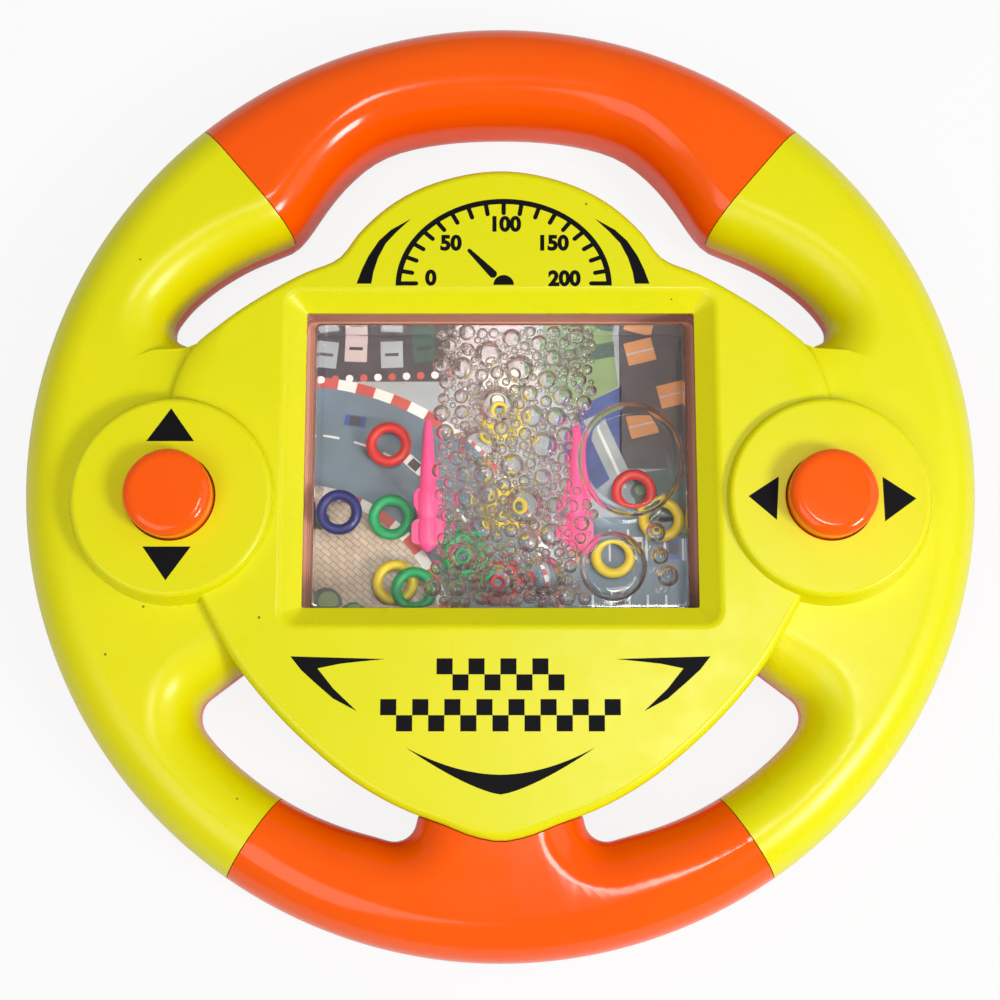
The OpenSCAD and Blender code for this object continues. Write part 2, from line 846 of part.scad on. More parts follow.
module left_button() {
    button(-1);
}

module right_button() {
    button(1);
}

// Route of an air tube as [x, y, heading]: straight from the pump, bend, level, bend, to the jet
function bend(x, y, r, from, to) = [for (i = [0 : bend_steps])
    let (a = from + (to - from) * i / bend_steps) [x + r * sin(a), y - r * cos(a), a]];
function air_route(jet_x) =
    let (start = cup_r + seat_gap,
        bend_y = level_y + pump_bend_r,
        slant = (pad_y - bend_y + pump_bend_r * cos(outlet_angle)) / sin(outlet_angle),
        bend_x = slant * cos(outlet_angle) + pump_bend_r * sin(outlet_angle) - pad_x)
    concat([[start * cos(outlet_angle) - pad_x, pad_y - start * sin(outlet_angle), -outlet_angle]],
        bend(bend_x, bend_y, pump_bend_r, -outlet_angle, 0),
        bend(-jet_x - tank_bend_r, level_y + tank_bend_r, tank_bend_r, 0, 90),
        [[-jet_x, tank_bottom_y, 90]]);
function hose_point(s, r, a) = [s[0] - r * cos(a) * sin(s[2]), s[1] + r * cos(a) * cos(s[2]), r * sin(a)];

module air_tube(side, jet_x) {
    route = air_route(jet_x);
    m = hose_sides;
    radii = [tube_out_r, tube_in_r / cos(180 / m)];
    points = [for (s = route) for (r = radii) for (i = [0 : m - 1]) hose_point(s, r, i * 360 / m)];
    outside = [for (k = [0 : len(route) - 2]) for (i = [0 : m - 1])
        let (j = (i + 1) % m, low = 2 * m * k, high = low + 2 * m)
        [low + i, high + i, high + j, low + j]];
    inside = [for (f = outside) [f[3] + m, f[2] + m, f[1] + m, f[0] + m]];
    first = [for (i = [0 : m - 1]) let (j = (i + 1) % m) [i, j, m + j, m + i]];
    last_start = 2 * m * (len(route) - 1);
    last = [for (f = first) [for (k = [3 : -1 : 0]) last_start + f[k]]];
    color("#F2EFE6")
    translate([0, 0, jet_z])
        mirror([side > 0 ? 1 : 0, 0, 0])
            polyhedron(points, concat(outside, inside, first, last));
}

module left_air_tube() {
    air_tube(-1, left_jet_x);
}

module right_air_tube() {
    air_tube(1, right_jet_x);
}

module game_ring(ring) {
    x = percent(ring[2]) * RING_ROOM[0];
    y = percent(ring[3]) * RING_ROOM[1];
    color(ring[1])
    translate([x, tank_y + y, floor_z + ring_gap + ring_tube_r + ring[4] * ring_level])
        rotate_extrude()
            translate([ring_centre_r, 0])
                circle(ring_tube_r, $fn = 32);
}

rear_shell();
front_shell();
top_grip_cover();
bottom_grip_cover();
case_screws();
tank_body();
tank_back();
picture_card();
filler_plug();
left_peg();
right_peg();
left_jet();
right_jet();
left_air_tube();
right_air_tube();
left_pump_cup();
right_pump_cup();
left_bellows();
right_bellows();
left_button();
right_button();
for (ring = RINGS)
    game_ring(ring);
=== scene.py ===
from math import atan2, cos, degrees, dist, pi, radians, sin, sqrt, tau
import random

import bmesh
import bpy
from mathutils import Matrix, Vector


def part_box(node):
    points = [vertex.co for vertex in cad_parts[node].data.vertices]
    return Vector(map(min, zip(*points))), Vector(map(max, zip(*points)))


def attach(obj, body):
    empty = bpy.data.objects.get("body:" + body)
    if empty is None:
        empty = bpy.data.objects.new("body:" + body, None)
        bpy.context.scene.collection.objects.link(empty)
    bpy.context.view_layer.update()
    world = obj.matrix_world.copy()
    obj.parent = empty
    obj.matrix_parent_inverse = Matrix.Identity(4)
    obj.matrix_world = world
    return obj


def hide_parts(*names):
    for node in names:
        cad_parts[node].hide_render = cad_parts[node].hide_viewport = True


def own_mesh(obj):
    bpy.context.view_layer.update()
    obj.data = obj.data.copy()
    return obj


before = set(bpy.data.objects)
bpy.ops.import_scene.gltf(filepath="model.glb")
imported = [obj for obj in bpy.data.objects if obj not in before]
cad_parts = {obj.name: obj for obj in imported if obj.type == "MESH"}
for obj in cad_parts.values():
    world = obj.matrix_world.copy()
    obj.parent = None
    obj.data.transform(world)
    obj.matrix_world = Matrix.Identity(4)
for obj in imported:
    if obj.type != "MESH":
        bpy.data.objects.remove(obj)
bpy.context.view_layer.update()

# Handheld water game shaped like a steering wheel, lying on its back.
# Shapes are made in millimetres and scaled to metres as each piece is finished.
# Angles round the wheel are counted in degrees from its top, positive to the left.
MM = 0.001


def node_box(node):
    """Lowest and highest corner of a node of the part, in millimetres."""
    low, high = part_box(node)
    return low / MM, high / MM


# Sizes that the part fixes
REAR_LOW, REAR_HIGH = node_box("rear_shell")
FRONT_LOW, FRONT_HIGH = node_box("front_shell")
TANK_LOW, TANK_HIGH = node_box("tank_body")
CARD_LOW, CARD_HIGH = node_box("picture_card")
BUTTON_LOW, BUTTON_HIGH = node_box("right_button")
BELLOWS_LOW, BELLOWS_HIGH = node_box("right_bellows")
PLUG_LOW, PLUG_HIGH = node_box("filler_plug")

WHEEL_R = REAR_HIGH.x
PARTING_Z = REAR_HIGH.z
PAD_Z = FRONT_HIGH.z
PAD_X = (BUTTON_LOW.x + BUTTON_HIGH.x) / 2
PAD_Y = (BUTTON_LOW.y + BUTTON_HIGH.y) / 2
TANK_Y = (TANK_LOW.y + TANK_HIGH.y) / 2
TANK_OUT_W = TANK_HIGH.x - TANK_LOW.x
TANK_OUT_H = TANK_HIGH.y - TANK_LOW.y
FLOOR_Z = TANK_LOW.z
PLUG_Y = (PLUG_LOW.y + PLUG_HIGH.y) / 2
PLUG_R = (PLUG_HIGH.x - PLUG_LOW.x) / 2

# Sizes that are repeated from the part's source
WALL = 2
PAD_RISE = 4
PLATE_RISE = 2.3
ARM_Z = PAD_Z - PAD_RISE
PLATE_Z = ARM_Z + PLATE_RISE
FRONT_H = ARM_Z - PARTING_Z
REAR_RIM_LIFT = 0.8
REAR_RIM_H = PARTING_Z - REAR_RIM_LIFT
RIM_W = 17.6
RIM_ROUND_W = 7.2
RIM_ROUND_H = 8
PLATE_R = 50
PLATE_COVER = WALL + 1
TOP_GRIP_HALF = 40.4
BOTTOM_GRIP_HALF = 33.6
SEAM_GAP = 0.15
SEAM_EDGE = 0.15
GRIP_RIB_T = 1.6
OPENING_CORNER = 3.4
OPENING_MID_R = 54
WINDOW_W = 60.8
WINDOW_H = 46.6
WINDOW_Y = TANK_Y + 0.6
BEVEL_W = 3.3
BEVEL_H = 3.2
BEVEL_DEPTH = 2.5
LIP_T = 0.5
LIP_Z = PLATE_Z - BEVEL_DEPTH - LIP_T
FRAME_W = 2.2
FRAME_CORNER = 4
TANK_WALL = 1.8
TANK_INSIDE_Z = TANK_HIGH.z - 1.5
TANK_CORNER = 1.5
JOINT_GAP = 0.02
PAD_SLOPE = 1
FLANGE_T = 1.2
SCREW_CIRCLE_R = 66.5
SCREW_R = 1.3
SCREW_HEAD_R = 2.5
SCREW_HEAD_GAP = 0.3
SLEEVE_R = SCREW_HEAD_R + 1.3
SCREW_SEAT_Z = PARTING_Z - 3.5
POST_R = SCREW_R + 1.6
POST_TOP_Z = ARM_Z - 1.4
PILOT_R = SCREW_R - 0.2
PILOT_TOP_Z = PARTING_Z + 7.5
SEAT_GAP = 0.1
SEAT_OUT = 1.3
ACCESS_GAP = 0.6
NECK_R = 4.2
CUP_R = 11
CUP_SEAT_H = 5.5
SPIGOT_R = 1.6
JET_Z = FLOOR_Z + 2.3
TUBE_R = 2.23
TUBE_WALL = 0.6
TUBE_LEVEL_Y = TANK_LOW.y - 8.2
PEG_RISE = 1.2
PEG_STUD_R = 0.8
PEG_STUD_OUT = 0.7
PEG_STUD_UP = 5.4

# Sizes that follow the photo more closely than the part does. So do the ends of the two lower
# openings and the lower tip of the centre plate, below.
PAD_R = 15.3
BUTTON_R = 6.65
BUTTON_GAP = 0.22

# Rim width and outline of the centre plate, as (angle, percent more than RIM_W or PLATE_R)
RIM_SHAPE = [(0, -5), (16, -7), (21, -4), (27, 7), (36, 28), (39.5, 33), (42, 32), (51, 13),
             (60, -3), (66, -7), (118, -15), (132, -21), (141, -20), (150, -17), (156, -14),
             (162, -11), (180, -10)]
PLATE_SHAPE = [(0, -4.6), (12, -6), (21, -8.4), (30, -12.4), (37.5, -16.2), (45, -12.7),
               (54, -7.6), (63, -1.2), (69, 3.4), (78, 4.8), (95, 2.4), (115, 0.2), (129, 0.7),
               (138, 1.5), (147, 3.2), (156, 5.8), (165, 8.4), (171, 10), (175.5, 12.3),
               (180, 13.6)]
# Openings as (start angle, end angle, steps along them)
OPENINGS = [(-67.2, 67.2, 90), (127.5, 166.6, 40), (-166.6, -127.5, 40)]
TOP_SCREWS = [-20, 20]
SIDE_SCREWS = [62, 118, 242, 298]
BOTTOM_SCREWS = [160, 200]

# Width of the hollow foot and of the rounded edge of the centre plate, by angle
FOOT_SHAPE = [(0, 0), (67.6, 0), (73, 8), (80, 8), (88, 0.4), (114, 0.4), (118, 0), (180, 0)]
EDGE_SHAPE = [(0, 1.3), (62, 1.3), (70, 5), (80, 5), (88, 1), (114, 1), (120, 1.4), (180, 1.4)]

SIDES = ((-1, "left"), (1, "right"))
# How far cutters reach past what they cut
OVER = 1
# Steps round the wheel's rim and round the centre plate
RIM_STEPS = 240
PLATE_STEPS = 180


def polar(turn, r):
    """Point at a distance from the wheel's middle, at an angle from the wheel's top."""
    a = radians(turn)
    return (-r * sin(a), r * cos(a))


def fold(turn):
    """Angle from the wheel's top, the same on both sides."""
    a = abs(turn) % 360
    return 360 - a if a > 180 else a


def find_stretch(points, turn):
    """Where an angle lies in a list of (angle, value): between which two, and how far along."""
    a = fold(turn)
    k = max(i for i in range(len(points) - 1) if a >= points[i][0])
    return k, k + 1, (a - points[k][0]) / (points[k + 1][0] - points[k][0])


def slope(points, i):
    if i in (0, len(points) - 1):
        return 0
    return (points[i + 1][1] - points[i - 1][1]) / (points[i + 1][0] - points[i - 1][0])


def curve(points, turn):
    """Smooth curve through a list of (angle, value)."""
    k, n, u = find_stretch(points, turn)
    v = 1 - u
    ends = v * v * (1 + 2 * u) * points[k][1] + u * u * (3 - 2 * u) * points[n][1]
    width = points[n][0] - points[k][0]
    return ends + width * u * v * (v * slope(points, k) - u * slope(points, n))


def straight(points, turn):
    """Straight lines through a list of (angle, value), eased at their ends."""
    k, n, u = find_stretch(points, turn)
    u = u * u * (3 - 2 * u)
    return points[k][1] * (1 - u) + points[n][1] * u


def plate_edge_r(turn):
    return PLATE_R * (1 + curve(PLATE_SHAPE, turn) / 100)


def rim_inner_r(turn):
    return WHEEL_R - RIM_W * (1 + curve(RIM_SHAPE, turn) / 100)


def plate_outline(grow):
    """Outline of the centre plate. The growth is a number or a function of the angle."""
    step = 360 / PLATE_STEPS
    turns = [step * (i + 0.5) for i in range(PLATE_STEPS)]
    reach = grow if callable(grow) else lambda turn: grow
    return [polar(t, plate_edge_r(t) + reach(t)) for t in turns]


def quarter(steps):
    """Angles of a quarter turn, both ends included, in radians."""
    return [pi / 2 * i / steps for i in range(steps + 1)]


# Solids


def new_object(name, data):
    obj = bpy.data.objects.new(name, data)
    bpy.context.scene.collection.objects.link(obj)
    return obj


def as_mesh(bm, name):
    """Mesh of a solid, which is used up."""
    mesh = bpy.data.meshes.new(name)
    bm.to_mesh(mesh)
    bm.free()
    return mesh


def from_curve(line):
    """Bmesh of a curve or text, which is used up."""
    bm = bmesh.new()
    bm.from_mesh(bpy.data.meshes.new_from_object(new_object("scratch", line)))
    bpy.data.curves.remove(line)
    return bm


def move(bm, *by):
    bmesh.ops.translate(bm, verts=bm.verts, vec=by)


def resize(bm, *by):
    bmesh.ops.scale(bm, verts=bm.verts, vec=by)


def rotate(bm, angle, axis):
    bmesh.ops.rotate(bm, verts=bm.verts, matrix=Matrix.Rotation(angle, 3, axis))


def close_up(bm):
    """Merges doubles and turns the faces outwards."""
    bmesh.ops.remove_doubles(bm, verts=bm.verts, dist=0.0005)
    bmesh.ops.recalc_face_normals(bm, faces=bm.faces)
    return bm


def flat_loop(bm, points, z):
    """Closed loop of edges through flat points at one height."""
    verts = [bm.verts.new((x, y, z)) for x, y in points]
    return [bm.edges.new((verts[i - 1], verts[i])) for i in range(len(verts))]


def stack(levels):
    """Closed solid through a stack of (outline, height), lowest first."""
    bm = bmesh.new()
    loops = [flat_loop(bm, points, z) for points, z in levels]
    for low, high in zip(loops, loops[1:]):
        bmesh.ops.bridge_loops(bm, edges=low + high)
    for end in (loops[0], loops[-1]):
        bmesh.ops.contextual_create(bm, geom=end)
    return close_up(bm)


def prism(outline, low, high):
    """Upright solid with one outline."""
    return stack([(outline, low), (outline, high)])


def lathe(profile, steps, x=0, y=0, closed=False):
    """Solid turned about an upright axis from a profile of (radius, height)."""
    bm = bmesh.new()
    verts = [bm.verts.new((r, 0, z)) for r, z in profile]
    edges = [bm.edges.new(pair) for pair in zip(verts, verts[1:])]
    if closed:
        edges.append(bm.edges.new((verts[-1], verts[0])))
    bmesh.ops.spin(bm, geom=verts + edges, cent=(0, 0, 0), axis=(0, 0, 1), dvec=(0, 0, 0),
                   angle=tau, steps=steps, use_merge=True, use_duplicate=False)
    move(bm, x, y, 0)
    return close_up(bm)


def rod(r, low, high, x=0, y=0, steps=48):
    """Upright cylinder."""
    return lathe([(0, low), (r, low), (r, high), (0, high)], steps, x, y)


def joined(*solids):
    """Separate solids as one bmesh."""
    mesh = bpy.data.meshes.new("joined")
    whole = bmesh.new()
    for bm in solids:
        bm.to_mesh(mesh)
        whole.from_mesh(mesh)
        bm.free()
    bpy.data.meshes.remove(mesh)
    return whole


def combine(base, tool, operation):
    """Boolean of two closed solids. Both are used up."""
    parts = [new_object("scratch", as_mesh(bm, "scratch")) for bm in (base, tool)]
    modifier = parts[0].modifiers.new("combine", "BOOLEAN")
    modifier.operation = operation
    modifier.solver = "MANIFOLD"
    modifier.object = parts[1]
    result = bmesh.new()
    result.from_object(parts[0], bpy.context.evaluated_depsgraph_get())
    for obj in parts:
        bpy.data.meshes.remove(obj.data)
    return result


def cut(base, *tools):
    return combine(base, joined(*tools), "DIFFERENCE")


def unite(base, *tools):
    return combine(base, joined(*tools), "UNION")


def raised(bm, facing_player=True):
    """Moves a half of the case from the parting plane up, or mirrors it down."""
    if not facing_player:
        resize(bm, 1, 1, -1)
        bmesh.ops.reverse_faces(bm, faces=bm.faces)
    move(bm, 0, 0, PARTING_Z)
    return bm


def rounded_rect(half_w, half_h, r, y=0, steps=8):
    """Outline of a rectangle with round corners."""
    corners = [(1, 1, 0), (-1, 1, 90), (-1, -1, 180), (1, -1, 270)]
    points = []
    for sx, sy, start in corners:
        for i in range(steps + 1):
            a = radians(start + 90 * i / steps)
            points.append((sx * (half_w - r) + r * cos(a), y + sy * (half_h - r) + r * sin(a)))
    return points


# Shapes that the shells share


def round_point(a, inset):
    """Point of the rim's rounding as (distance from the edge, height below the top)."""
    across = RIM_ROUND_W - (RIM_ROUND_W - inset) * cos(a)
    return across, (RIM_ROUND_H - inset) * sin(a) - RIM_ROUND_H


def corner_drop(d, c):
    """How far a rounded corner holds an opening's outline back near its end."""
    return 0 if d >= c else c - sqrt(c * c - (c - d) ** 2)


def opening_outline(opening, grow):
    start, end, steps = opening
    degree = OPENING_MID_R * pi / 180
    start -= grow / degree
    end += grow / degree
    corner = OPENING_CORNER + grow
    turns = [start + (end - start) * (1 - cos(pi * i / steps)) / 2 for i in range(steps + 1)]
    ends = [min(t - start, end - t) * degree for t in turns]
    outer = [polar(t, rim_inner_r(t) + grow - corner_drop(d, corner)) for t, d in zip(turns, ends)]
    inner = [polar(t, plate_edge_r(t) - PLATE_COVER) for t in reversed(turns)]
    return outer + inner


def opening_cut(opening, height, inset):
    """Cutter of an opening whose edge towards the rim is rounded."""
    angles = quarter(10)[:-1]
    steep, flat = round_point(angles[-1], inset), round_point(pi / 2, inset)
    # The last step reaches a fifth past the top, so that no thin skin is left there
    past = [s + 1.2 * (f - s) for s, f in zip(steep, flat)]
    points = [round_point(a, inset) for a in angles] + [past]
    levels = [(inset, -OVER)] + [(p[0], height + p[1]) for p in points]
    return stack([(opening_outline(opening, grow), z) for grow, z in levels])


def wheel_half(height, inset):
    """Rim and arms above the parting plane, or the hollow in them where inset is the wall."""
    edge = [round_point(a, inset) for a in quarter(12)]
    if inset:
        foot = [(0, -OVER), (WHEEL_R - inset, -OVER)]
    else:
        foot = [(0, 0), (WHEEL_R - SEAM_EDGE, 0), (WHEEL_R, SEAM_EDGE)]
    profile = foot + [(WHEEL_R - p[0], height + p[1]) for p in edge] + [(0, height - inset)]
    return cut(lathe(profile, RIM_STEPS), *[opening_cut(o, height, inset) for o in OPENINGS])


def plate_block(arm_h, rise, foot, edge):
    """Centre plate above the parting plane, with a hollow foot on the arms and a round edge."""
    sunk = 0.03
    foot_h = 0.4 * rise
    levels = [(foot, 0)]
    for a in quarter(6):
        levels.append((lambda t, a=a: foot(t) * (1 - sin(a)),
                       arm_h - sunk + foot_h * (1 - cos(a))))
    for a in quarter(8)[1:]:
        levels.append((lambda t, a=a: -edge(t) * (1 - cos(a)),
                       arm_h - sunk + foot_h + (rise + sunk - foot_h) * sin(a)))
    return stack([(plate_outline(grow), z) for grow, z in levels])


def wedge(middle, half, margin):
    """Wedge of the wheel round an angle, with its sides moved in by a margin."""
    reach = 2 * WHEEL_R
    points = [(0, 0), polar(-half, reach), polar(0, reach * 1.2), polar(half, reach)]
    bm = prism(points, -2 * OVER, PAD_Z)
    move(bm, 0, margin / sin(radians(half)), 0)
    rotate(bm, radians(middle), "Z")
    return bm


def at_pads(make):
    return [make(side * PAD_X) for side in (-1, 1)]


def at_screws(angles, r, low, high):
    return [rod(r, low, high, *polar(t, SCREW_CIRCLE_R), steps=32) for t in angles]


def screw_posts(angles):
    return at_screws(angles, POST_R, PARTING_Z, POST_TOP_Z)


def screw_pilots(angles):
    return at_screws(angles, PILOT_R, PARTING_Z - OVER, PILOT_TOP_Z)


def mirrored(points, side, middle=0.0):
    """Outline as it is at the right, or mirrored to the left."""
    return [(middle + side * x, y) for x, y in points]


def tank_outline(grow, corner):
    return rounded_rect(TANK_OUT_W / 2 + grow, TANK_OUT_H / 2 + grow, corner, TANK_Y)


def window_cut():
    """Cutter of the window: straight at the lip, then sloped, with a rounded outer edge."""
    # Places across the slope, as shares of its width: start and end of the rounding, and the
    # cutter's edge just above the plate
    soft, end, past = 0.72, 1.12, 1.4
    slope_z = LIP_Z + LIP_T
    levels = [(0, LIP_Z - OVER), (0, slope_z), (soft, slope_z + soft * BEVEL_DEPTH)]
    for i in range(1, 7):
        u = i / 6
        rise = soft + (1 - soft) * (2 * u - u * u)
        levels.append((soft + (end - soft) * u, slope_z + BEVEL_DEPTH * rise))
    levels.append((past, PLATE_Z + 0.04))
    return stack([(rounded_rect(WINDOW_W / 2 + share * BEVEL_W, WINDOW_H / 2 + share * BEVEL_H,
                                0.4 + 2.2 * share, WINDOW_Y), z) for share, z in levels])


def pad(x):
    """Raised round pad with a sloped side and a soft edge."""
    edge_r = 0.9
    edge_out = 0.15
    foot_r = PAD_R + PAD_SLOPE * (PAD_RISE + WALL) / PAD_RISE
    edge = [(PAD_R - edge_r * (1 - cos(a)) + edge_out, PAD_Z - edge_r * (1 - sin(a)))
            for a in quarter(8)[1:]]
    return lathe([(0, ARM_Z - WALL), (foot_r, ARM_Z - WALL), *edge, (0, PAD_Z)], 128, x, PAD_Y)


def window_frame():
    """Wall round the window inside the plate, which holds the tank's front."""
    half_w = WINDOW_W / 2 + BEVEL_W + FRAME_W
    half_h = WINDOW_H / 2 + BEVEL_H + FRAME_W
    frame_wall = prism(rounded_rect(half_w, half_h, FRAME_CORNER, WINDOW_Y), LIP_Z,
                       PLATE_Z - WALL / 2)
    inside_plate = prism(plate_outline(-0.75 * WALL), LIP_Z - OVER, PLATE_Z)
    return combine(frame_wall, inside_plate, "INTERSECT")


def front_shell(wheel, hollow):
    outside = cut(wheel, raised(wedge(0, TOP_GRIP_HALF, -SEAM_GAP)))
    outside = cut(outside, raised(wedge(180, BOTTOM_GRIP_HALF, -SEAM_GAP)))
    plate = raised(plate_block(FRONT_H, PLATE_RISE, lambda t: straight(FOOT_SHAPE, t),
                               lambda t: straight(EDGE_SHAPE, t)))
    outside = unite(outside, plate)
    outside = unite(outside, *at_pads(pad))
    shell = cut(outside, hollow)
    shell = cut(shell, prism(plate_outline(-WALL), PARTING_Z - OVER, PLATE_Z - WALL))
    shell = cut(shell, *at_pads(lambda x: rod(PAD_R - WALL, PARTING_Z, PAD_Z - WALL, x, PAD_Y, 96)))
    shell = unite(shell, window_frame())
    shell = unite(shell, *screw_posts(SIDE_SCREWS))
    holes = at_pads(lambda x: rod(BUTTON_R + BUTTON_GAP, ARM_Z, PAD_Z + OVER, x, PAD_Y, 96))
    return cut(shell, window_cut(), *holes, *screw_pilots(SIDE_SCREWS))


def grip_cover(wheel, hollow, middle, half, screws):
    cover = combine(wheel, raised(wedge(middle, half, 0)), "INTERSECT")
    inside = combine(hollow, raised(wedge(middle, half, GRIP_RIB_T)), "INTERSECT")
    cover = cut(cover, inside)
    cover = unite(cover, *screw_posts(screws))
    plate_gap = prism(plate_outline(SEAM_GAP), PARTING_Z - OVER, PLATE_Z + OVER)
    return cut(cover, plate_gap, *screw_pilots(screws))


def tank_seat():
    """Wall round the tank's back, up to just under the jets."""
    tube_room = 0.93
    top = JET_Z - SPIGOT_R - tube_room
    return cut(prism(tank_outline(SEAT_OUT, 2.7), WALL / 2, top),
               prism(tank_outline(SEAT_GAP, TANK_CORNER), WALL / 2 - OVER, top + OVER))


def cup_seat(x):
    """Low ring that the pump cup stands in."""
    return cut(rod(CUP_R + SEAT_OUT, WALL / 2, WALL / 2 + CUP_SEAT_H, x, PAD_Y),
               rod(CUP_R + SEAT_GAP, WALL, 9, x, PAD_Y))


def rear_shell(wheel, hollow):
    screws = TOP_SCREWS + SIDE_SCREWS + BOTTOM_SCREWS
    rise = 2
    edge_w = 1.2
    plate = raised(plate_block(PARTING_Z - rise, rise, lambda t: 0, lambda t: edge_w), False)
    shell = unite(wheel, plate)
    shell = cut(shell, hollow)
    shell = cut(shell, prism(plate_outline(-WALL), WALL, PARTING_Z + OVER))
    shell = unite(shell, *at_screws(screws, SLEEVE_R, REAR_RIM_LIFT + WALL / 2, PARTING_Z))
    head_holes = at_screws(screws, SCREW_HEAD_R + SCREW_HEAD_GAP, -OVER, SCREW_SEAT_Z)
    plug_hole = rod(PLUG_R + ACCESS_GAP, -OVER, CARD_LOW.z + OVER, 0, PLUG_Y)
    shell = cut(shell, *head_holes, plug_hole)
    shell = cut(shell, *at_screws(screws, SCREW_R + SCREW_HEAD_GAP, 0, PARTING_Z + OVER))
    return unite(shell, tank_seat(), *at_pads(cup_seat))


# Materials


def colour(code):
    """sRGB hex code as linear red, green and blue, with a full alpha."""
    values = [int(code[i:i + 2], 16) / 255 for i in (1, 3, 5)]
    linear = [v / 12.92 if v <= 0.04045 else ((v + 0.055) / 1.055) ** 2.4 for v in values]
    return (*linear, 1)


def add_node(tree, kind, inputs=None, **settings):
    """Adds a node with its settings, plain inputs and links."""
    node = tree.nodes.new("ShaderNode" + kind)
    for name, value in settings.items():
        setattr(node, name, value)
    for key, value in (inputs or {}).items():
        if isinstance(value, bpy.types.NodeSocket):
            tree.links.new(value, node.inputs[key])
        else:
            node.inputs[key].default_value = value
    return node


def calculate(tree, operation, *values, **settings):
    """Result of a math node for two or three values or sockets."""
    return add_node(tree, "Math", dict(enumerate(values)), operation=operation,
                    **settings).outputs[0]


def new_material(name, **sockets):
    """Material with a Principled shader. Returns it, its tree, shader and texture place."""
    material = bpy.data.materials.new(name)
    material.use_nodes = True
    tree = material.node_tree
    shader = tree.nodes["Principled BSDF"]
    for key, value in sockets.items():
        shader.inputs[key.replace("_", " ")].default_value = value
    return material, tree, shader, add_node(tree, "TexCoord").outputs["Object"]


def drive(tree, shader, base, roughness=None, normal=None):
    """Links the sockets that make the base colour, and the roughness and normal if given."""
    for name, socket in (("Base Color", base), ("Roughness", roughness), ("Normal", normal)):
        if socket is not None:
            tree.links.new(socket, shader.inputs[name])


def noise(tree, place, size_mm, detail=2.0, roughness=0.5):
    """Noise whose lumps are about this many millimetres across."""
    return add_node(tree, "TexNoise", {
        "Vector": place, "Scale": 1 / (size_mm * MM), "Detail": detail, "Roughness": roughness,
    }).outputs["Fac"]


def bump(tree, strength, depth_mm, height):
    return add_node(tree, "Bump", {
        "Strength": strength, "Distance": depth_mm * MM, "Height": height}).outputs["Normal"]


def spread(tree, value, low, high, start=0.25, end=0.75):
    """Maps a noise to a range of values, without hard edges."""
    return add_node(tree, "MapRange", {
        "Value": value, "From Min": start, "From Max": end, "To Min": low, "To Max": high,
    }, interpolation_type="SMOOTHSTEP").outputs["Result"]


def blend_colours(tree, share, first, second):
    return add_node(tree, "Mix", {0: share, 6: first, 7: second}, data_type="RGBA").outputs[2]


def clouds(tree, place, size_mm, code, shade_code, detail=2):
    """Two colours that blend into each other in soft clouds."""
    return blend_colours(tree, spread(tree, noise(tree, place, size_mm, detail), 0, 1),
                         colour(code), colour(shade_code))


def burnt_specks(tree, place, base):
    """Rare burnt specks in the moulding, under half a millimetre across."""
    cells = add_node(tree, "TexVoronoi", {"Vector": place, "Scale": 1 / (7 * MM)})
    small = calculate(tree, "LESS_THAN", cells.outputs["Distance"], 0.03)
    rare = calculate(tree, "GREATER_THAN", cells.outputs["Color"], 0.62)
    return blend_colours(tree, calculate(tree, "MULTIPLY", small, rare), base, colour("#8A7A10"))


def moulded_plastic(name, code, shade_code, roughness, skin_mm=1.4, skin=0.06, specks=False,
                    **sockets):
    """Injection-moulded plastic: glossy, with faint flow clouds and a slightly uneven skin."""
    material, tree, shader, place = new_material(name, IOR=1.53, **sockets)
    base = clouds(tree, place, 22, code, shade_code)
    if specks:
        base = burnt_specks(tree, place, base)
    drive(tree, shader, base, spread(tree, noise(tree, place, 5), *roughness),
          bump(tree, skin, 0.05, noise(tree, place, skin_mm)))
    return material


def clear_plastic(name, code, ior, roughness, wave_mm, wave):
    """Clear moulded plastic or water: bends light, with a slightly wavy surface."""
    material, tree, shader, place = new_material(name, IOR=ior, Transmission_Weight=1)
    tint = clouds(tree, place, 20, code, "#FFFFFF")
    drive(tree, shader, tint, spread(tree, noise(tree, place, 6), *roughness),
          bump(tree, wave, 0.1, noise(tree, place, wave_mm, 1)))
    return material


def soft_plastic(name, code, shade_code, roughness, soft_mm):
    """Milky vinyl or polythene: light goes a little way in, and the surface is half matt."""
    return moulded_plastic(name, code, shade_code, roughness, 1.5, 0.2,
                           Subsurface_Weight=0.35, Subsurface_Scale=soft_mm * MM)


def zinc_plate(name):
    """Zinc-plated steel: grey metal with a faintly cloudy, fine-grained plating."""
    material, tree, shader, place = new_material(name, Metallic=1)
    base = clouds(tree, place, 1.5, "#B4B6B8", "#D2D2CE", 3)
    drive(tree, shader, base, spread(tree, noise(tree, place, 0.4, 3), 0.25, 0.45))
    return material


def screen_ink(name, code, shade_code, roughness=(0.35, 0.5), shine=0.5):
    """Printed ink: a thin even film, a little cloudy where the screen left less of it."""
    material, tree, shader, place = new_material(name, IOR=1.5, Specular_IOR_Level=shine)
    grain = spread(tree, noise(tree, place, 0.5, 4, 0.7), 0, 1)
    cloud = spread(tree, noise(tree, place, 6), 0, 1)
    base = blend_colours(tree, calculate(tree, "MULTIPLY", grain, cloud), colour(code),
                         colour(shade_code))
    drive(tree, shader, base, spread(tree, grain, *roughness, 0, 1))
    return material


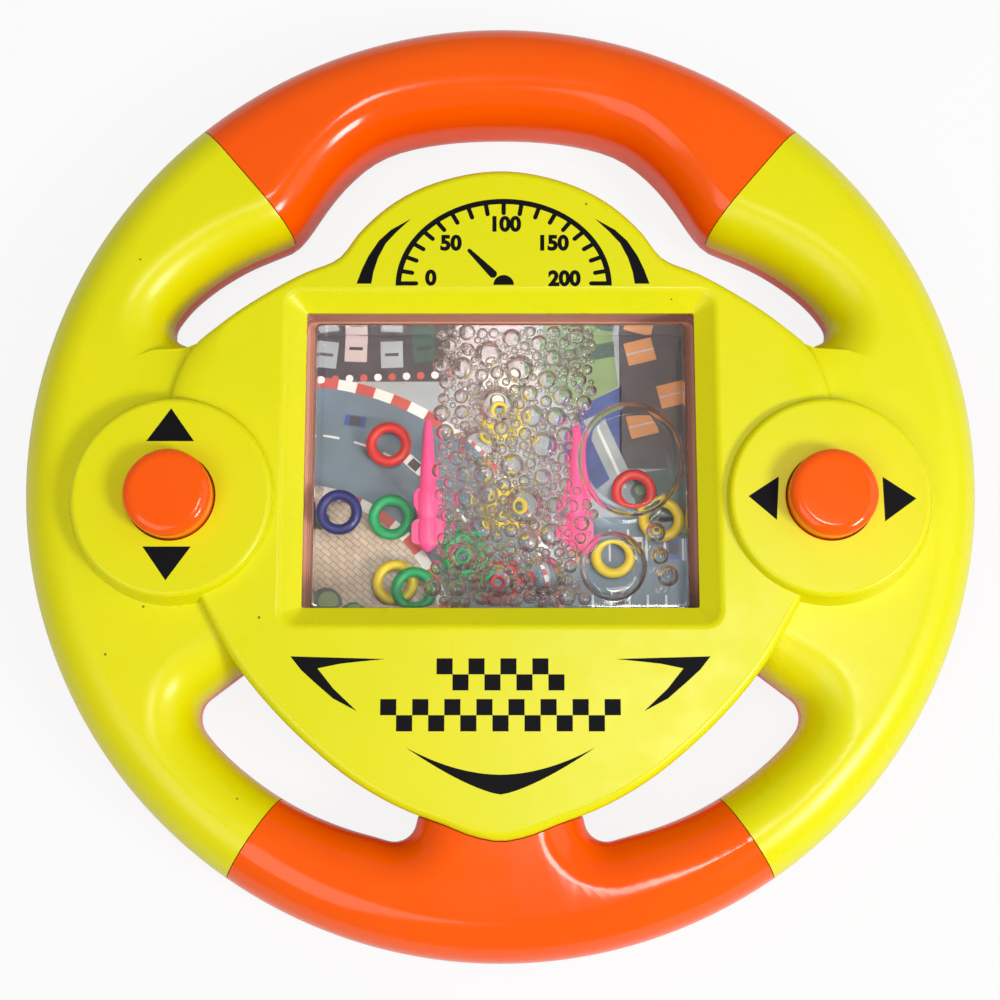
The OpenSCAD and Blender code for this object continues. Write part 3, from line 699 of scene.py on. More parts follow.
YELLOW_ABS = moulded_plastic("yellow moulded ABS", "#EBE302", "#E4E203", (0.26, 0.32),
                             specks=True, Specular_IOR_Level=0.32)
ORANGE_ABS = moulded_plastic("orange moulded ABS", "#FF5F00", "#FF5900", (0.11, 0.15),
                             Specular_IOR_Level=0.32)
BUTTON_ABS = moulded_plastic("orange button ABS", "#FF5E02", "#FF5A02", (0.1, 0.14),
                             Specular_IOR_Level=0.34)
PINK_PLASTIC = moulded_plastic("pink polystyrene", "#F24E8C", "#EC4684", (0.3, 0.4))
RING_PLASTICS = {
    dye: moulded_plastic(dye + " polyethylene", code, shade_code, (0.3, 0.4))
    for dye, code, shade_code in (("red", "#D8261C", "#C81E18"), ("green", "#10A860", "#0C9C56"),
                                  ("yellow", "#EBD21E", "#E2C616"), ("navy", "#141C6E", "#101660"))
}
CLEAR_STYRENE = clear_plastic("clear moulded styrene", "#FBF1EA", 1.59, (0.0, 0.02), 9, 0.15)
WATER = clear_plastic("clear water", "#F8FCFB", 1.333, (0.0, 0.0), 15, 0.0)
SOFT_VINYL = soft_plastic("milky soft vinyl", "#EFECE2", "#E6E2D4", (0.4, 0.5), 2)
POLYTHENE = soft_plastic("white polythene", "#F0EEE8", "#E6E4DC", (0.5, 0.6), 3)
ZINC = zinc_plate("zinc-plated steel")
BLACK_INK = screen_ink("black screen ink", "#050407", "#0B0A12", (0.55, 0.65), 0.14)


def tank_edge(name):
    """Frosted outer sides and foot of the clear tank. Their orange-brown colour is a painted
    reflection of the orange case behind them, as it shows through the clear walls.

    Its painted dark and pale lines run along the walls, as they come from the distance to the
    tank's outer sides."""
    material, tree, shader, place = new_material(name, IOR=1.5)
    x, y, z = add_node(tree, "SeparateXYZ", {0: place}).outputs
    out_x = calculate(tree, "ABSOLUTE", x)
    out_y = calculate(tree, "ABSOLUTE", calculate(tree, "SUBTRACT", y, TANK_Y * MM))
    inwards = calculate(tree, "MAXIMUM",
                        calculate(tree, "SUBTRACT", out_x, TANK_OUT_W / 2 * MM),
                        calculate(tree, "SUBTRACT", out_y, TANK_OUT_H / 2 * MM))
    level = add_node(tree, "CombineXYZ", {0: inwards, 2: z}).outputs[0]
    # Painted reflection: dark brown and pale lines that stand in for the orange case seen through
    # the clear walls
    lines = spread(tree, noise(tree, level, 0.55), 0, 1, 0.4, 0.6)
    drive(tree, shader, blend_colours(tree, lines, colour("#6E3428"), colour("#E2A890")),
          spread(tree, lines, 0.35, 0.6, 0, 1))
    return material


# Frosted edge of the tank, coloured with a painted reflection of the orange case
TANK_EDGE = tank_edge("frosted tank edge with painted case reflection")


# Pieces


def finished(bm, name, materials, replaces=(), sharp=32, body="case"):
    """Makes a piece of a solid: scaled to metres, smooth but for its sharp edges."""
    resize(bm, MM, MM, MM)
    mesh = as_mesh(bm, name)
    for material in materials if isinstance(materials, list) else [materials]:
        mesh.materials.append(material)
    mesh.shade_smooth()
    mesh.set_sharp_from_angle(angle=radians(sharp))
    obj = new_object(name, mesh)
    weighted = obj.modifiers.new("even normals", "WEIGHTED_NORMAL")
    weighted.keep_sharp = True
    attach(obj, body)
    if replaces:
        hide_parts(*replaces)
    return obj


def dress_node(node, material):
    """Gives a node of the part its material."""
    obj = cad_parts[node]
    if not obj.material_slots:
        obj.data.materials.append(material)
    for place in obj.material_slots:
        place.link = "OBJECT"
        place.material = material
    return obj


def make_shells():
    front = raised(wheel_half(FRONT_H, 0))
    hollow = raised(wheel_half(FRONT_H, WALL))
    finished(front_shell(front.copy(), hollow.copy()), "front_shell_moulding", YELLOW_ABS,
             ["front_shell"])
    finished(grip_cover(front.copy(), hollow.copy(), 0, TOP_GRIP_HALF, TOP_SCREWS),
             "top_grip_moulding", ORANGE_ABS, ["top_grip_cover"])
    finished(grip_cover(front, hollow, 180, BOTTOM_GRIP_HALF, BOTTOM_SCREWS),
             "bottom_grip_moulding", ORANGE_ABS, ["bottom_grip_cover"])
    rear = raised(wheel_half(REAR_RIM_H, 0), False)
    rear_hollow = raised(wheel_half(REAR_RIM_H, WALL), False)
    finished(rear_shell(rear, rear_hollow), "rear_shell_moulding", ORANGE_ABS,
             ["rear_shell"])


def tank_block(inset, low, high, corner, edge):
    """Box inside the tank's outline, with round corners and a rounded front."""
    rounding = [(edge * (1 - cos(a)), high - edge * (1 - sin(a))) for a in quarter(4)]
    return stack([(tank_outline(-inset - back, corner - back / 2), z)
                  for back, z in [(0, low), *rounding]])


def tank_hollow(gap, low):
    """Inside of the tank, or the water in it, which keeps a gap."""
    return tank_block(TANK_WALL + gap, low, TANK_INSIDE_Z - gap, 1, 0.8)


def make_tank():
    outer = tank_block(0, FLOOR_Z + JOINT_GAP, TANK_HIGH.z, TANK_CORNER, 0.3)
    tank = cut(outer, tank_hollow(0, FLOOR_Z - OVER))
    for face in tank.faces:
        centre = face.calc_center_median()
        past = max(abs(centre.x) - TANK_OUT_W / 2, abs(centre.y - TANK_Y) - TANK_OUT_H / 2)
        outer_side = abs(face.normal.z) < 0.3 and past > -0.6
        foot = face.normal.z < -0.9 and centre.z < FLOOR_Z + 2 * JOINT_GAP
        if outer_side or foot:
            face.material_index = 1
    obj = finished(tank, "tank_clear_moulding", [CLEAR_STYRENE, TANK_EDGE],
                   ["tank_body"])
    obj.visible_shadow = False
    back = dress_node("tank_back", CLEAR_STYRENE)
    back.visible_shadow = False


def make_rings():
    around = [tau * i / 20 for i in range(20)]
    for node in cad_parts:
        if "_ring" not in node:
            continue
        low, high = node_box(node)
        middle = (low + high) / 2
        tube_r = (high.z - low.z) / 2
        line_r = (high.x - low.x) / 2 - tube_r
        profile = [(line_r + tube_r * cos(a), middle.z + tube_r * sin(a)) for a in around]
        plastic = node.split("_")[0]
        finished(lathe(profile, 56, middle.x, middle.y, closed=True), node + "_moulding",
                 RING_PLASTICS[plastic], [node], 180, node)


def make_buttons():
    """Buttons with a rounded edge, hollow inside, with a pusher in the middle."""
    foot, top = BUTTON_LOW.z, BUTTON_HIGH.z
    flange_r = (BUTTON_HIGH.x - BUTTON_LOW.x) / 2
    pusher_r = 2.2
    top_t = 1.4
    hollow = [(pusher_r, foot), (pusher_r, top - top_t), (5.3, top - 2.6), (5.5, foot)]
    edge_w = 1.7
    edge_h = 1.25
    dome = 0.06
    edge = [(BUTTON_R - edge_w * (1 - cos(a)), top - dome - edge_h * (1 - sin(a)))
            for a in quarter(10)]
    profile = [(0, foot), *hollow, (flange_r, foot), (flange_r, foot + FLANGE_T),
               (BUTTON_R, foot + FLANGE_T), *edge, (0, top)]
    for side, name in SIDES:
        name += "_button"
        finished(lathe(profile, 96, side * PAD_X, PAD_Y), name + "_moulding", BUTTON_ABS,
                 [name], body=name)


def make_bellows():
    """Soft folded cups that push the buttons back up."""
    low, high = BELLOWS_LOW.z, BELLOWS_HIGH.z
    skin = 0.7
    fold_r = 9
    fold_depth = 1.8
    folds = 3
    steps = 48
    wave = []
    for i in range(steps + 1):
        u = i / steps
        wave.append((fold_r - fold_depth * (0.5 + 0.5 * cos(tau * folds * u)),
                     low + skin + (high - low - 2 * skin) * u))
    inside = [(x - skin, z) for x, z in reversed(wave)]
    profile = [(0, inside[0][1]), *inside, (inside[-1][0], low), (CUP_R, low),
               (CUP_R, low + skin * 0.8), *wave, (wave[-1][0] - 0.3, high), (0, high)]
    for side, name in SIDES:
        obj = finished(lathe(profile, 72, side * PAD_X, PAD_Y), name + "_bellows_moulding",
                       SOFT_VINYL, [name + "_bellows"], 50)
        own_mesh(obj)


def tube_route(jet_x, pump_bend=8, tank_bend=5, slant_angle=55, steps=12):
    """Route of the left air tube, from the pump to the jet, with round bends."""
    slant = radians(slant_angle)
    start = CUP_R + SEAT_GAP
    bend_y = TUBE_LEVEL_Y + pump_bend
    along = (PAD_Y - bend_y + pump_bend * cos(slant)) / sin(slant)
    bend_x = along * cos(slant) + pump_bend * sin(slant) - PAD_X
    points = [(start * cos(slant) - PAD_X, PAD_Y - start * sin(slant))]
    for i in range(steps + 1):
        a = -slant + slant * i / steps
        points.append((bend_x + pump_bend * sin(a), bend_y - pump_bend * cos(a)))
    for i in range(steps + 1):
        a = pi / 2 * i / steps
        points.append((-jet_x - tank_bend + tank_bend * sin(a),
                       TUBE_LEVEL_Y + tank_bend - tank_bend * cos(a)))
    points.append((-jet_x, TANK_LOW.y))
    return points


def make_air_tubes():
    """Soft tubes from the pumps to the jets."""
    for side, name in SIDES:
        jet_low, jet_high = node_box(name + "_jet")
        route = tube_route(abs(jet_low.x + jet_high.x) / 2)
        line = bpy.data.curves.new(name + "_air_tube_line", "CURVE")
        line.dimensions = "3D"
        line.bevel_depth = TUBE_R * MM
        line.bevel_resolution = 6
        spline = line.splines.new("POLY")
        spline.points.add(len(route) - 1)
        for point, (x, y) in zip(spline.points, route):
            point.co = (-side * x * MM, y * MM, JET_Z * MM, 1)
        bm = from_curve(line)
        resize(bm, 1 / MM, 1 / MM, 1 / MM)
        obj = finished(close_up(bm), name + "_air_tube_moulding", SOFT_VINYL,
                       [name + "_air_tube"], 50)
        solid = obj.modifiers.new("wall", "SOLIDIFY")
        solid.thickness = TUBE_WALL * MM
        solid.offset = -1


# Side fins of a peg as (out from its middle, up along it)
LOWER_FIN = [(0.4, 1.0), (2.1, 1.4), (2.5, 1.9), (2.5, 4.6), (1.7, 5.3), (0.4, 5.3)]
UPPER_FIN = [(0.4, 5.6), (1.5, 6.3), (2.2, 7.4), (2.2, 9.3), (1.5, 10.3), (0.4, 10.3)]


def peg_column():
    """Flattened tower with collars and a long spire, along +Y from its foot."""
    profile = [(0, 0), (0.7, 0.4), (1.4, 1.1), (1.75, 1.9), (1.8, 4.6), (1.5, 5.2), (1.5, 5.8),
               (1.8, 6.4), (1.85, 9.0), (1.6, 9.9), (1.35, 10.6), (1.3, 11.2), (0.98, 16.0),
               (0.62, 20.6), (0.4, 21.1), (0, 21.2)]
    bm = lathe(profile, 32)
    rotate(bm, -pi / 2, "X")
    resize(bm, 1, 1, 0.66)
    return bm


def fin(points, side, thickness=1.3):
    """Flat fin at one side of a peg, with softened edges."""
    bm = prism(mirrored(points, side), -thickness / 2, thickness / 2)
    bmesh.ops.bevel(bm, geom=bm.edges[:], offset=0.12, offset_type="OFFSET", segments=2,
                    profile=0.5, affect="EDGES", material=-1, clamp_overlap=True)
    return bm


def make_pegs():
    """Pink towers for the rings to land on, each held by a stud in the tank's back."""
    for side, name in SIDES:
        name += "_peg"
        low, high = node_box(name)
        x = (low.x + high.x) / 2
        height = high.z - PEG_RISE
        peg = peg_column()
        for points in (LOWER_FIN, UPPER_FIN):
            for s in (-1, 1):
                peg = unite(peg, fin(points, s))
        move(peg, x, low.y, height)
        stud = rod(PEG_STUD_R, low.z, height, x + side * PEG_STUD_OUT, low.y + PEG_STUD_UP, 24)
        finished(unite(peg, stud), name + "_moulding", PINK_PLASTIC, [name])


# Print on the plate and the pads

INK_T = 0.03


def film(outline, z, thickness=INK_T):
    """Thin film of ink over an outline."""
    return prism(outline, z, z + thickness)


def arc_points(cx, cy, r, start, end, steps):
    """Points on an arc, with angles in degrees counted from +X."""
    angles = [radians(start + (end - start) * i / steps) for i in range(steps + 1)]
    return [(cx + r * cos(a), cy + r * sin(a)) for a in angles]


def bar(start, end, start_w, end_w, steps=8):
    """Outline of a straight bar with round ends, which may taper."""
    along = degrees(atan2(end[1] - start[1], end[0] - start[0]))
    return (arc_points(*start, start_w / 2, along + 90, along + 270, steps)
            + arc_points(*end, end_w / 2, along - 90, along + 90, steps))


DIAL_X = 0.5
DIAL_Y = 28.5
DIAL_HALF_W = 16.9
DIAL_H = 14.2
DIAL_LINE = 0.85
DIAL_STEPS = 18
TICK_W = 0.68
TICK_END = 2.35
NUMBER_SIZE = 3.3
NUMBER_BOLD = 0.16
NUMBER_HALF_H = 1.15
# Numbers as (text, middle to the right, middle up)
DIAL_NUMBERS = [("0", -10.9, 29.8), ("50", -7.8, 35.5), ("100", 0.7, 38.6), ("150", 8.2, 35.5),
                ("200", 10.0, 29.7)]
# Right-hand strokes, mirrored to the left
CRESCENT = [(22.9, 28.8), (22.1, 31.1), (21.1, 33.3), (19.5, 35.8), (17.6, 37.6), (14.5, 39.4),
            (16.7, 37.3), (18.4, 35.4), (19.6, 33.0), (20.3, 30.7), (20.6, 28.8)]
SWOOSH = [(31.6, -29.5), (17.4, -29.9), (21.4, -30.3), (24.1, -30.6), (27.5, -31.3),
          (25.1, -34.3), (21.5, -37.7), (25.1, -35.8), (27.9, -33.4), (30.0, -31.5)]

# Arrows round the buttons as (right, up, direction, width, height), from the pad's middle
LEFT_ARROWS = [(-0.3, 8.55, 90, 7.3, 5.15), (-0.3, -7.75, -90, 7.3, 5.15)]
RIGHT_ARROWS = [(-8.05, -0.3, 176, 6.75, 4.45), (8.05, -0.45, 1, 6.9, 4.95)]


def dial_point(turn, inset):
    """Point inside the dial's flattened arc, at an angle counted from +X."""
    a = radians(turn)
    return (DIAL_X + (DIAL_HALF_W - inset) * cos(a), DIAL_Y + (DIAL_H - inset) * sin(a))


def dial_ink():
    """Speed dial: arc, base strokes, ticks, needle and hub."""
    outer = [dial_point(i * 2.5, 0) for i in range(73)]
    inner = [dial_point(i * 2.5, DIAL_LINE) for i in range(72, -1, -1)]
    films = [film(outer + inner, PLATE_Z)]
    # Where strokes cross the arc they lie a hair higher, so that no two faces share a plane
    over_arc = PLATE_Z + 0.002
    for i in range(1, DIAL_STEPS):
        turn = 180 * i / DIAL_STEPS
        tick = bar(dial_point(turn, DIAL_LINE / 2), dial_point(turn, TICK_END), TICK_W, TICK_W)
        films.append(film(tick, over_arc))
    for side in (-1, 1):
        x, y = DIAL_X + side * DIAL_HALF_W, DIAL_Y + TICK_W / 2
        base = bar((x - side * 0.4, y), (x - side * 3.2, y), TICK_W, TICK_W)
        films.append(film(base, over_arc))
    films.append(film(bar((-4.9, 34.2), (-1.2, 30.4), 0.6, 1.3), PLATE_Z))
    films.append(film(arc_points(DIAL_X, DIAL_Y + 0.1, 1.6, 0, 180, 24), PLATE_Z))
    return films


def smile():
    """Wide pointed stroke at the foot of the plate."""
    across = [i / 12 - 1 for i in range(25)]
    upper = [(14.1 * u, -47.1 + 4.0 * abs(u) ** 1.9) for u in across]
    lower = [(14.1 * u, -50.0 + 6.9 * abs(u) ** 1.38) for u in reversed(across[1:-1])]
    return upper + lower


def triangle(x, y, turn, width, height):
    """Arrow head whose base's middle is at a point, pointing along an angle from +X."""
    a = radians(turn)
    ux, uy = cos(a), sin(a)
    return [(x - uy * width / 2, y + ux * width / 2), (x + uy * width / 2, y - ux * width / 2),
            (x + ux * height, y + uy * height)]


def chequers():
    """Two chequered bands under the window, a common racing pattern."""
    square = 2.4
    films = []
    for top, columns in ((-29.8, 8), (-35.9, 15)):
        for row in range(2):
            for column in range(columns):
                if (row + column) % 2:
                    continue
                x = (column - columns / 2) * square
                y = top - row * square
                films.append(film([(x, y), (x, y - square), (x + square, y - square),
                                   (x + square, y)], PLATE_Z))
    return films


def make_number(text, x, y):
    """Number of the dial, in plain bold figures."""
    letters = bpy.data.curves.new("number", "FONT")
    letters.body = text
    letters.size = NUMBER_SIZE
    letters.offset = NUMBER_BOLD
    letters.align_x = "CENTER"
    letters.extrude = INK_T / 2
    bm = from_curve(letters)
    move(bm, x, y - NUMBER_HALF_H, PLATE_Z + INK_T / 2)
    finished(close_up(bm), "dial_number_" + text, BLACK_INK)


def make_print():
    crescents = [film(mirrored(CRESCENT, s, 0.4), PLATE_Z) for s in (-1, 1)]
    strokes = [film(mirrored(SWOOSH, s), PLATE_Z) for s in (-1, 1)] + [film(smile(), PLATE_Z)]
    for name, films in (("dial_print", dial_ink()), ("dial_side_print", crescents),
                        ("stroke_print", strokes), ("chequered_print", chequers())):
        finished(joined(*films), name, BLACK_INK)
    for name, side, arrows in (("left", -1, LEFT_ARROWS), ("right", 1, RIGHT_ARROWS)):
        films = [film(triangle(side * PAD_X + x, PAD_Y + y, turn, width, height), PAD_Z)
                 for x, y, turn, width, height in arrows]
        finished(joined(*films), name + "_pad_arrows", BLACK_INK)
    for text, x, y in DIAL_NUMBERS:
        make_number(text, x, y)


# Picture behind the tank

ART_LAYER = 0.012
# Inks as (key, name, code, code where the film is thin)
ART_INKS = {
    kind: screen_ink(name + " print", code, shade_code) for kind, name, code, shade_code in (
        ("asphalt", "grey asphalt", "#5C7384", "#52687A"), ("dark", "dark", "#352F38", "#463E48"),
        ("white", "white", "#DCE0E0", "#CCD2D4"), ("red", "kerb red", "#B8443C", "#A83A34"),
        ("green", "grass", "#74905E", "#64804E"), ("leaf", "dark leaf", "#35544A", "#2B463E"),
        ("blue", "blue", "#2C4690", "#263C80"), ("grey", "pale grey", "#9AA4AA", "#8A959C"),
        ("orange", "roof orange", "#CE8A4C", "#BE7C40"),
        ("pink", "pale stone", "#BFB2B4", "#AEA2A6"))
}
BEND_X = -33
BEND_Y = -27
BEND_IN_R = 25.5
BEND_OUT_R = 41.5


def paving_print(name):
    """Printed paving: small pale stones with grey joints."""
    material, tree, shader, place = new_material(name, Roughness=0.42, IOR=1.5)
    turned = add_node(tree, "VectorRotate", {"Vector": place, "Angle": 0.7})
    stones = add_node(tree, "TexBrick", {
        "Vector": turned.outputs[0], "Scale": 1 / (3.4 * MM), "Mortar Size": 0.022,
        "Color1": colour("#C6BBA8"), "Color2": colour("#B2A896"), "Mortar": colour("#7E7872")})
    grain = spread(tree, noise(tree, place, 0.6, 4, 0.7), 0, 0.4)
    drive(tree, shader, blend_colours(tree, grain, stones.outputs["Color"], colour("#9A9084")))
    return material


ART_INKS["paving"] = paving_print("paving print")


def disc(x, y, r, steps=24):
    return arc_points(x, y, r, 0, 360 - 360 / steps, steps - 1)


def turned_rect(x, y, w, h, turn=0.0):
    """Outline of a rectangle about its middle, turned by an angle in degrees."""
    a = radians(turn)
    corners = [(-w / 2, -h / 2), (w / 2, -h / 2), (w / 2, h / 2), (-w / 2, h / 2)]
    return [(x + u * cos(a) - v * sin(a), y + u * sin(a) + v * cos(a)) for u, v in corners]


def bend_strip(in_r, out_r, start, end, steps):
    """Strip along the road's bend, with angles in degrees counted from +X."""
    return (arc_points(BEND_X, BEND_Y, out_r, start, end, steps)
            + arc_points(BEND_X, BEND_Y, in_r, end, start, steps))


def bend_art(add):
    """Road with a bend between striped kerbs, round a paved corner."""
    add("asphalt", bend_strip(BEND_IN_R, BEND_OUT_R, 5, 85.5, 40), 1)
    corner = [(-30.9, -24.3)] + arc_points(BEND_X, BEND_Y, BEND_IN_R, 6, 85, 30)
    add("paving", corner, 1)
    for r, step in ((BEND_IN_R - 1.7, 7.2), (BEND_OUT_R, 4.1)):
        start, i = 7.0, 0
        while start + step < 86:
            add(("red", "white")[i % 2], bend_strip(r, r + 1.7, start, start + step, 3), 2)
            start += step
            i += 1
    middle = (BEND_IN_R + BEND_OUT_R) / 2
    for i in range(9):
        add("white", bend_strip(middle, middle + 0.35, 9 + i * 8.6, 13.5 + i * 8.6, 4), 2)


def town_art(add):
    """Seen from above: sheds along the top, lawns, a pool, roofs, trees and parking bays."""
    add("dark", turned_rect(-19, 19.6, 23.4, 8.6), 1)
    sheds = ((-28.2, "grey"), (-23.4, "pink"), (-17.6, "grey"), (-12.4, "leaf"))
    for i, (x, paint) in enumerate(sheds):
        add(paint, turned_rect(x, 19.8 + i % 2, 3.6, 4.4, 4 * i - 6), 2)
        add("dark", turned_rect(x, 19.8 + i % 2, 2.2, 0.5, 4 * i - 6), 3)
    for i in range(10):
        add(("white", "red")[i % 2], disc(-29 + 2.3 * i, 15.6 + 0.1 * i, 0.62, 14), 3)
    add("pink", turned_rect(-0.4, 16.8, 13.4, 13.6), 1)
    add("green", [(7, 24.2), (7, 13), (12, 10.5), (19, 14.5), (18, 24.2)], 1)
    add("leaf", [(7, 20), (7, 17.5), (18.5, 19.5), (18.3, 22)], 2)
    add("blue", [(12, 10.8), (9.5, 2), (14.5, -3), (19.5, 1), (19.5, 14.5)], 1)
    add("dark", turned_rect(25, 12.6, 11.6, 23), 1)
    add("leaf", turned_rect(26, -3.4, 9, 8.6, 8), 1)
    for x, y, turn in ((22.6, 20.3, 14), (27.8, 13.2, 14), (22.9, 8.4, 14)):
        add("orange", turned_rect(x, y, 4.6, 3.8, turn), 3)
        add("pink", turned_rect(x, y, 4.6, 0.3, turn), 4)
    add("grey", turned_rect(17.5, 3.6, 3.4, 13, 24), 2)
    add("white", turned_rect(17.5, 3.6, 0.5, 12.4, 24), 3)
    add("asphalt", turned_rect(20.4, -15.6, 20.6, 17.4), 1)
    for i in range(7):
        add("white", turned_rect(11.6 + 2.9 * i, -11.4, 0.35, 5), 2)
    for i in range(5):
        add("white", turned_rect(14.6 + 2.9 * i, -21.4, 0.35, 4), 2)
    for x, y, r in ((-27.6, -20.8, 2.6), (-23.3, -22.2, 1.7), (14.2, 20.9, 1.5), (9.6, 14.8, 1.3),
                    (11.5, 22.6, 1.2), (29.2, -8.8, 1.6), (24.6, -8.3, 1.1), (22.2, -2.6, 1.4),
                    (4.8, 21.6, 1.0), (-28.7, -7.4, 1.5)):
        add("leaf", disc(x, y, r), 3)
        add("green", disc(x + r * 0.15, y + r * 0.15, r * 0.62), 4)
    for x, y, turn, paint in ((-23.4, 8.8, -8, "blue"), (-13.8, 1.6, -42, "white"),
                              (-6.8, -8.6, -62, "red"), (13, -12.4, 90, "orange"),
                              (21.7, -11.8, 90, "white"), (27.5, -12, 90, "blue"),
                              (18.9, -21, 90, "pink")):
        add(paint, turned_rect(x, y, 3.4, 1.8, turn), 3)
        add("dark", turned_rect(x, y, 1.8, 1.5, turn), 4)


def make_card():
    """Card with a plain town and road picture, each ink one thin film."""
    hole_r = NECK_R + SEAT_GAP
    card = prism(tank_outline(0, TANK_CORNER), CARD_LOW.z, CARD_HIGH.z)
    hole = rod(hole_r, CARD_LOW.z - OVER, CARD_HIGH.z + OVER, 0, PLUG_Y)
    finished(cut(card, hole), "picture_card_sheet", ART_INKS["grey"],
             ["picture_card"])
    films = {}

    def add(kind, outline, layer):
        z = CARD_HIGH.z + ART_LAYER * layer
        moved = [(x, TANK_Y + y) for x, y in outline]
        films.setdefault(kind, []).append(film(moved, z, ART_LAYER * 0.8))

    bend_art(add)
    town_art(add)
    for kind, parts in films.items():
        ink = joined(*parts)
        if kind == "pink":
            ink = cut(ink, rod(hole_r, CARD_LOW.z, CARD_HIGH.z + OVER, 0, PLUG_Y))
        finished(ink, "picture_" + kind, ART_INKS[kind])


# Water and air bubbles
BUBBLES = [
    # (to the right, up, radius), from the wheel's middle
    (6.6, -16.4, 3.3), (-0.6, 10.9, 3.1), (-3.5, 4.3, 3.2), (1.8, 0.9, 2.0), (3.8, -5.2, 3.0),
    (-6.1, 16.6, 1.9), (-1.9, 19.0, 2.2), (1.8, 21.4, 1.6), (2.9, 16.6, 2.4), (-6.0, -13.4, 2.3),
    (-0.5, -17.3, 2.7), (-5.5, -4.4, 1.9), (6.7, 4.3, 2.3), (8.3, 18.2, 1.4), (7.3, 14.7, 1.6),
    (9.7, 12.1, 1.7), (4.6, 12.4, 1.4), (5.0, 8.8, 1.9), (8.7, 8.6, 1.7), (-2.6, -0.5, 1.7),
    (6.5, -1.0, 1.4), (-1.9, -3.8, 1.6), (8.4, -5.5, 1.4), (-3.2, -9.1, 2.2), (4.3, -11.2, 1.7),
    (7.9, -10.0, 1.9), (24.1, -9.7, 1.6), (24.7, -13.4, 1.4), (25.9, -16.5, 1.7),
    (-10.5, -18.4, 1.4), (-9.7, -15.3, 1.2), (-6.6, -18.4, 1.4), (-6.2, 11.9, 1.2),
]
FLAT_BUBBLES = [
    # (to the right, up, radius, stretch along y)
    (20.4, 1.9, 8.4, 1.09), (17.4, -15.0, 5.3, 1.03),
]
FLAT_BUBBLE_HALF_H = 1.6
# (radius, how many)
SMALL_BUBBLES = [(1.25, 45), (0.95, 90), (0.7, 160), (0.48, 230), (0.33, 160)]
# Band that the small bubbles rise in: its middle, how far they spread, and its limits
BAND_X = 2.2
BAND_SPREAD = 5.6
BAND_LEFT, BAND_RIGHT = -9.5, 14.5
BAND_LOW, BAND_HIGH = -20.6, 22.6


def sphere(x, y, z, r, detail):
    bm = bmesh.new()
    bmesh.ops.create_icosphere(bm, subdivisions=detail, radius=r)
    move(bm, x, y, z)
    return bm


def flat_bubble(x, y, z, r, stretch):
    """Wide bubble pressed flat under the window."""
    h = FLAT_BUBBLE_HALF_H
    rim = [(r - h + h * cos(a), h * sin(a)) for a in [pi * (i / 16 - 0.5) for i in range(17)]]
    bubble = lathe([(0, -h), *rim, (0, h)], 96)
    resize(bubble, 1, stretch, 1)
    move(bubble, x, y, z)
    return bubble


def make_water():
    """The water that fills the tank. The air bubbles are hollows in it."""
    body = tank_hollow(JOINT_GAP, FLOOR_Z + JOINT_GAP)
    ceiling = TANK_INSIDE_Z - JOINT_GAP - 0.15
    holes = []
    taken = []
    for x, y, r, stretch in FLAT_BUBBLES:
        z = ceiling - FLAT_BUBBLE_HALF_H
        holes.append(flat_bubble(x, y, z, r, stretch))
        taken += [(x, y, z, r * stretch), (x, y, z + FLAT_BUBBLE_HALF_H, r * stretch)]
    for x, y, r in BUBBLES:
        holes.append(sphere(x, y, ceiling - r, r, 4 if r > 1.8 else 3))
        taken.append((x, y, ceiling - r, r))
    draw = random.Random(7)
    for size, count in SMALL_BUBBLES:
        left = count
        for _ in range(count * 60):
            r = size * draw.uniform(0.85, 1.15)
            x, y = draw.gauss(BAND_X, BAND_SPREAD), draw.uniform(BAND_LOW, BAND_HIGH)
            z = ceiling - r - 1.6 * draw.random() ** 3
            close = (dist((x, y, z), place) - c for *place, c in taken)
            if not left or not BAND_LEFT < x < BAND_RIGHT or min(close) < r + 0.01:
                continue
            left -= 1
            taken.append((x, y, z, r))
            holes.append(sphere(x, y, z, r, 3 if r > 0.8 else 2))
    hollows = joined(*holes)
    bmesh.ops.reverse_faces(hollows, faces=hollows.faces)
    obj = finished(joined(body, hollows), "water", WATER, sharp=60)
    obj.visible_shadow = False


def dress_plain_nodes():
    for node in ("left_jet", "right_jet"):
        dress_node(node, CLEAR_STYRENE)
    for node in ("left_pump_cup", "right_pump_cup"):
        dress_node(node, POLYTHENE)
    dress_node("filler_plug", SOFT_VINYL)
    dress_node("case_screws", ZINC)


# Stage


# Share of plain white in what the camera sees of the floor, and in what is mirrored of it
FLOOR_SEEN = 0.88
FLOOR_MIRRORED = 0.22
ROOM_LIGHT = 0.26
LAMPS = [
    # (name, place in metres, size in metres, watts)
    ("key", (0.42, -0.27, 0.5), 0.16, 2.4),
    ("side", (0.6, 0.05, 0.5), 0.6, 0.9),
    ("overhead", (0.14, 0.01, 1.0), 0.15, 1.5),
    ("fill", (-0.4, -0.4, 0.85), 0.6, 2.65),
]
LAMP_AIM = (0, 0, 0.02)


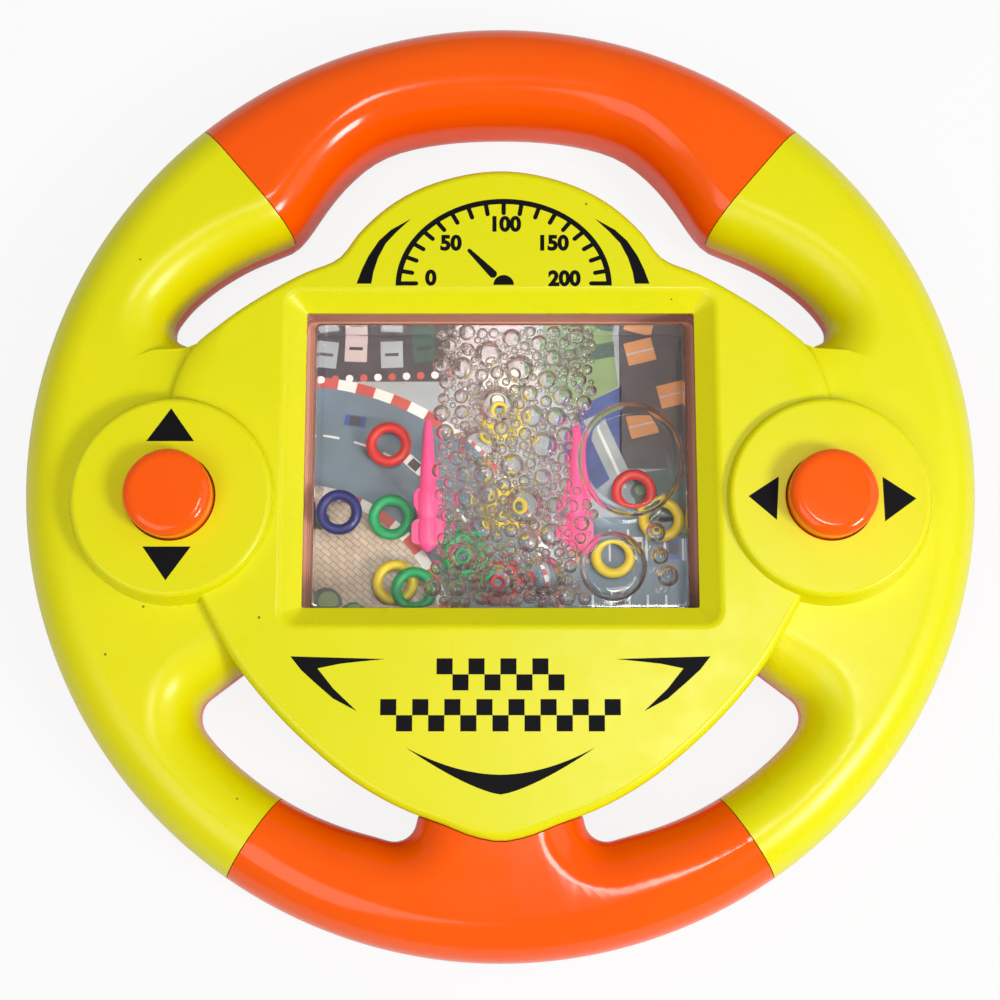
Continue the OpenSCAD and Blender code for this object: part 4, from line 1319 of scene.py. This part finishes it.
def floor_paper(name):
    """White paper that looks evenly lit, but shines only a little into the object."""
    material = bpy.data.materials.new(name)
    material.use_nodes = True
    tree = material.node_tree
    tree.nodes.clear()
    rays = add_node(tree, "LightPath").outputs
    bounced = calculate(tree, "MAXIMUM", rays["Is Glossy Ray"], rays["Is Transmission Ray"])
    share = calculate(tree, "MULTIPLY_ADD", rays["Is Camera Ray"], FLOOR_SEEN,
                      calculate(tree, "MULTIPLY", bounced, FLOOR_MIRRORED), use_clamp=True)
    paper = add_node(tree, "BsdfDiffuse", {"Color": colour("#E0E0E0")})
    glow = add_node(tree, "Emission", {"Color": (1, 1, 1, 1), "Strength": 1.0})
    mixed = add_node(tree, "MixShader", {0: share, 1: paper.outputs[0], 2: glow.outputs[0]})
    add_node(tree, "OutputMaterial", {"Surface": mixed.outputs[0]})
    return material


def make_stage():
    bm = bmesh.new()
    bmesh.ops.create_grid(bm, x_segments=1, y_segments=1, size=3)
    floor = new_object("floor", as_mesh(bm, "floor"))
    floor.data.materials.append(floor_paper("white floor"))
    world = bpy.data.worlds.new("studio")
    world.use_nodes = True
    background = world.node_tree.nodes["Background"]
    background.inputs["Color"].default_value = (1, 1, 1, 1)
    background.inputs["Strength"].default_value = ROOM_LIGHT
    bpy.context.scene.world = world


def make_lights():
    for name, place, size, power in LAMPS:
        data = bpy.data.lights.new(name, "AREA")
        data.size = size
        data.energy = power
        lamp = new_object(name, data)
        lamp.location = place
        lamp.rotation_mode = "QUATERNION"
        direction = Vector(LAMP_AIM) - Vector(place)
        lamp.rotation_quaternion = direction.to_track_quat("-Z", "Y")


CAMERA_TILT = 11
CAMERA_DISTANCE = 300
CAMERA_AIM = (0, 0, 10.5)
MM_PER_PIXEL = 0.15986
IMAGE_SIZE = 1000
# How far the picture's middle is from the wheel's middle, in pixels to the left and down
CAMERA_SHIFT = (0.5, 20.5)


def make_camera():
    data = bpy.data.cameras.new("camera")
    data.sensor_width = 36
    data.lens = CAMERA_DISTANCE / MM_PER_PIXEL * data.sensor_width / IMAGE_SIZE
    data.clip_start = 0.01
    data.shift_x = -CAMERA_SHIFT[0] / IMAGE_SIZE
    data.shift_y = -CAMERA_SHIFT[1] / IMAGE_SIZE
    obj = new_object("camera", data)
    tilt = radians(CAMERA_TILT)
    back = Vector((0, -sin(tilt), cos(tilt))) * CAMERA_DISTANCE
    obj.location = (Vector(CAMERA_AIM) + back) * MM
    obj.rotation_euler = (tilt, 0, 0)
    bpy.context.scene.camera = obj


make_shells()
make_tank()
make_card()
make_water()
make_rings()
make_pegs()
make_buttons()
make_bellows()
make_air_tubes()
make_print()
dress_plain_nodes()
make_stage()
make_lights()
make_camera()

bpy.context.scene.view_settings.view_transform = "Standard"
bpy.context.scene.cycles.max_bounces = 24
bpy.context.scene.cycles.transmission_bounces = 24
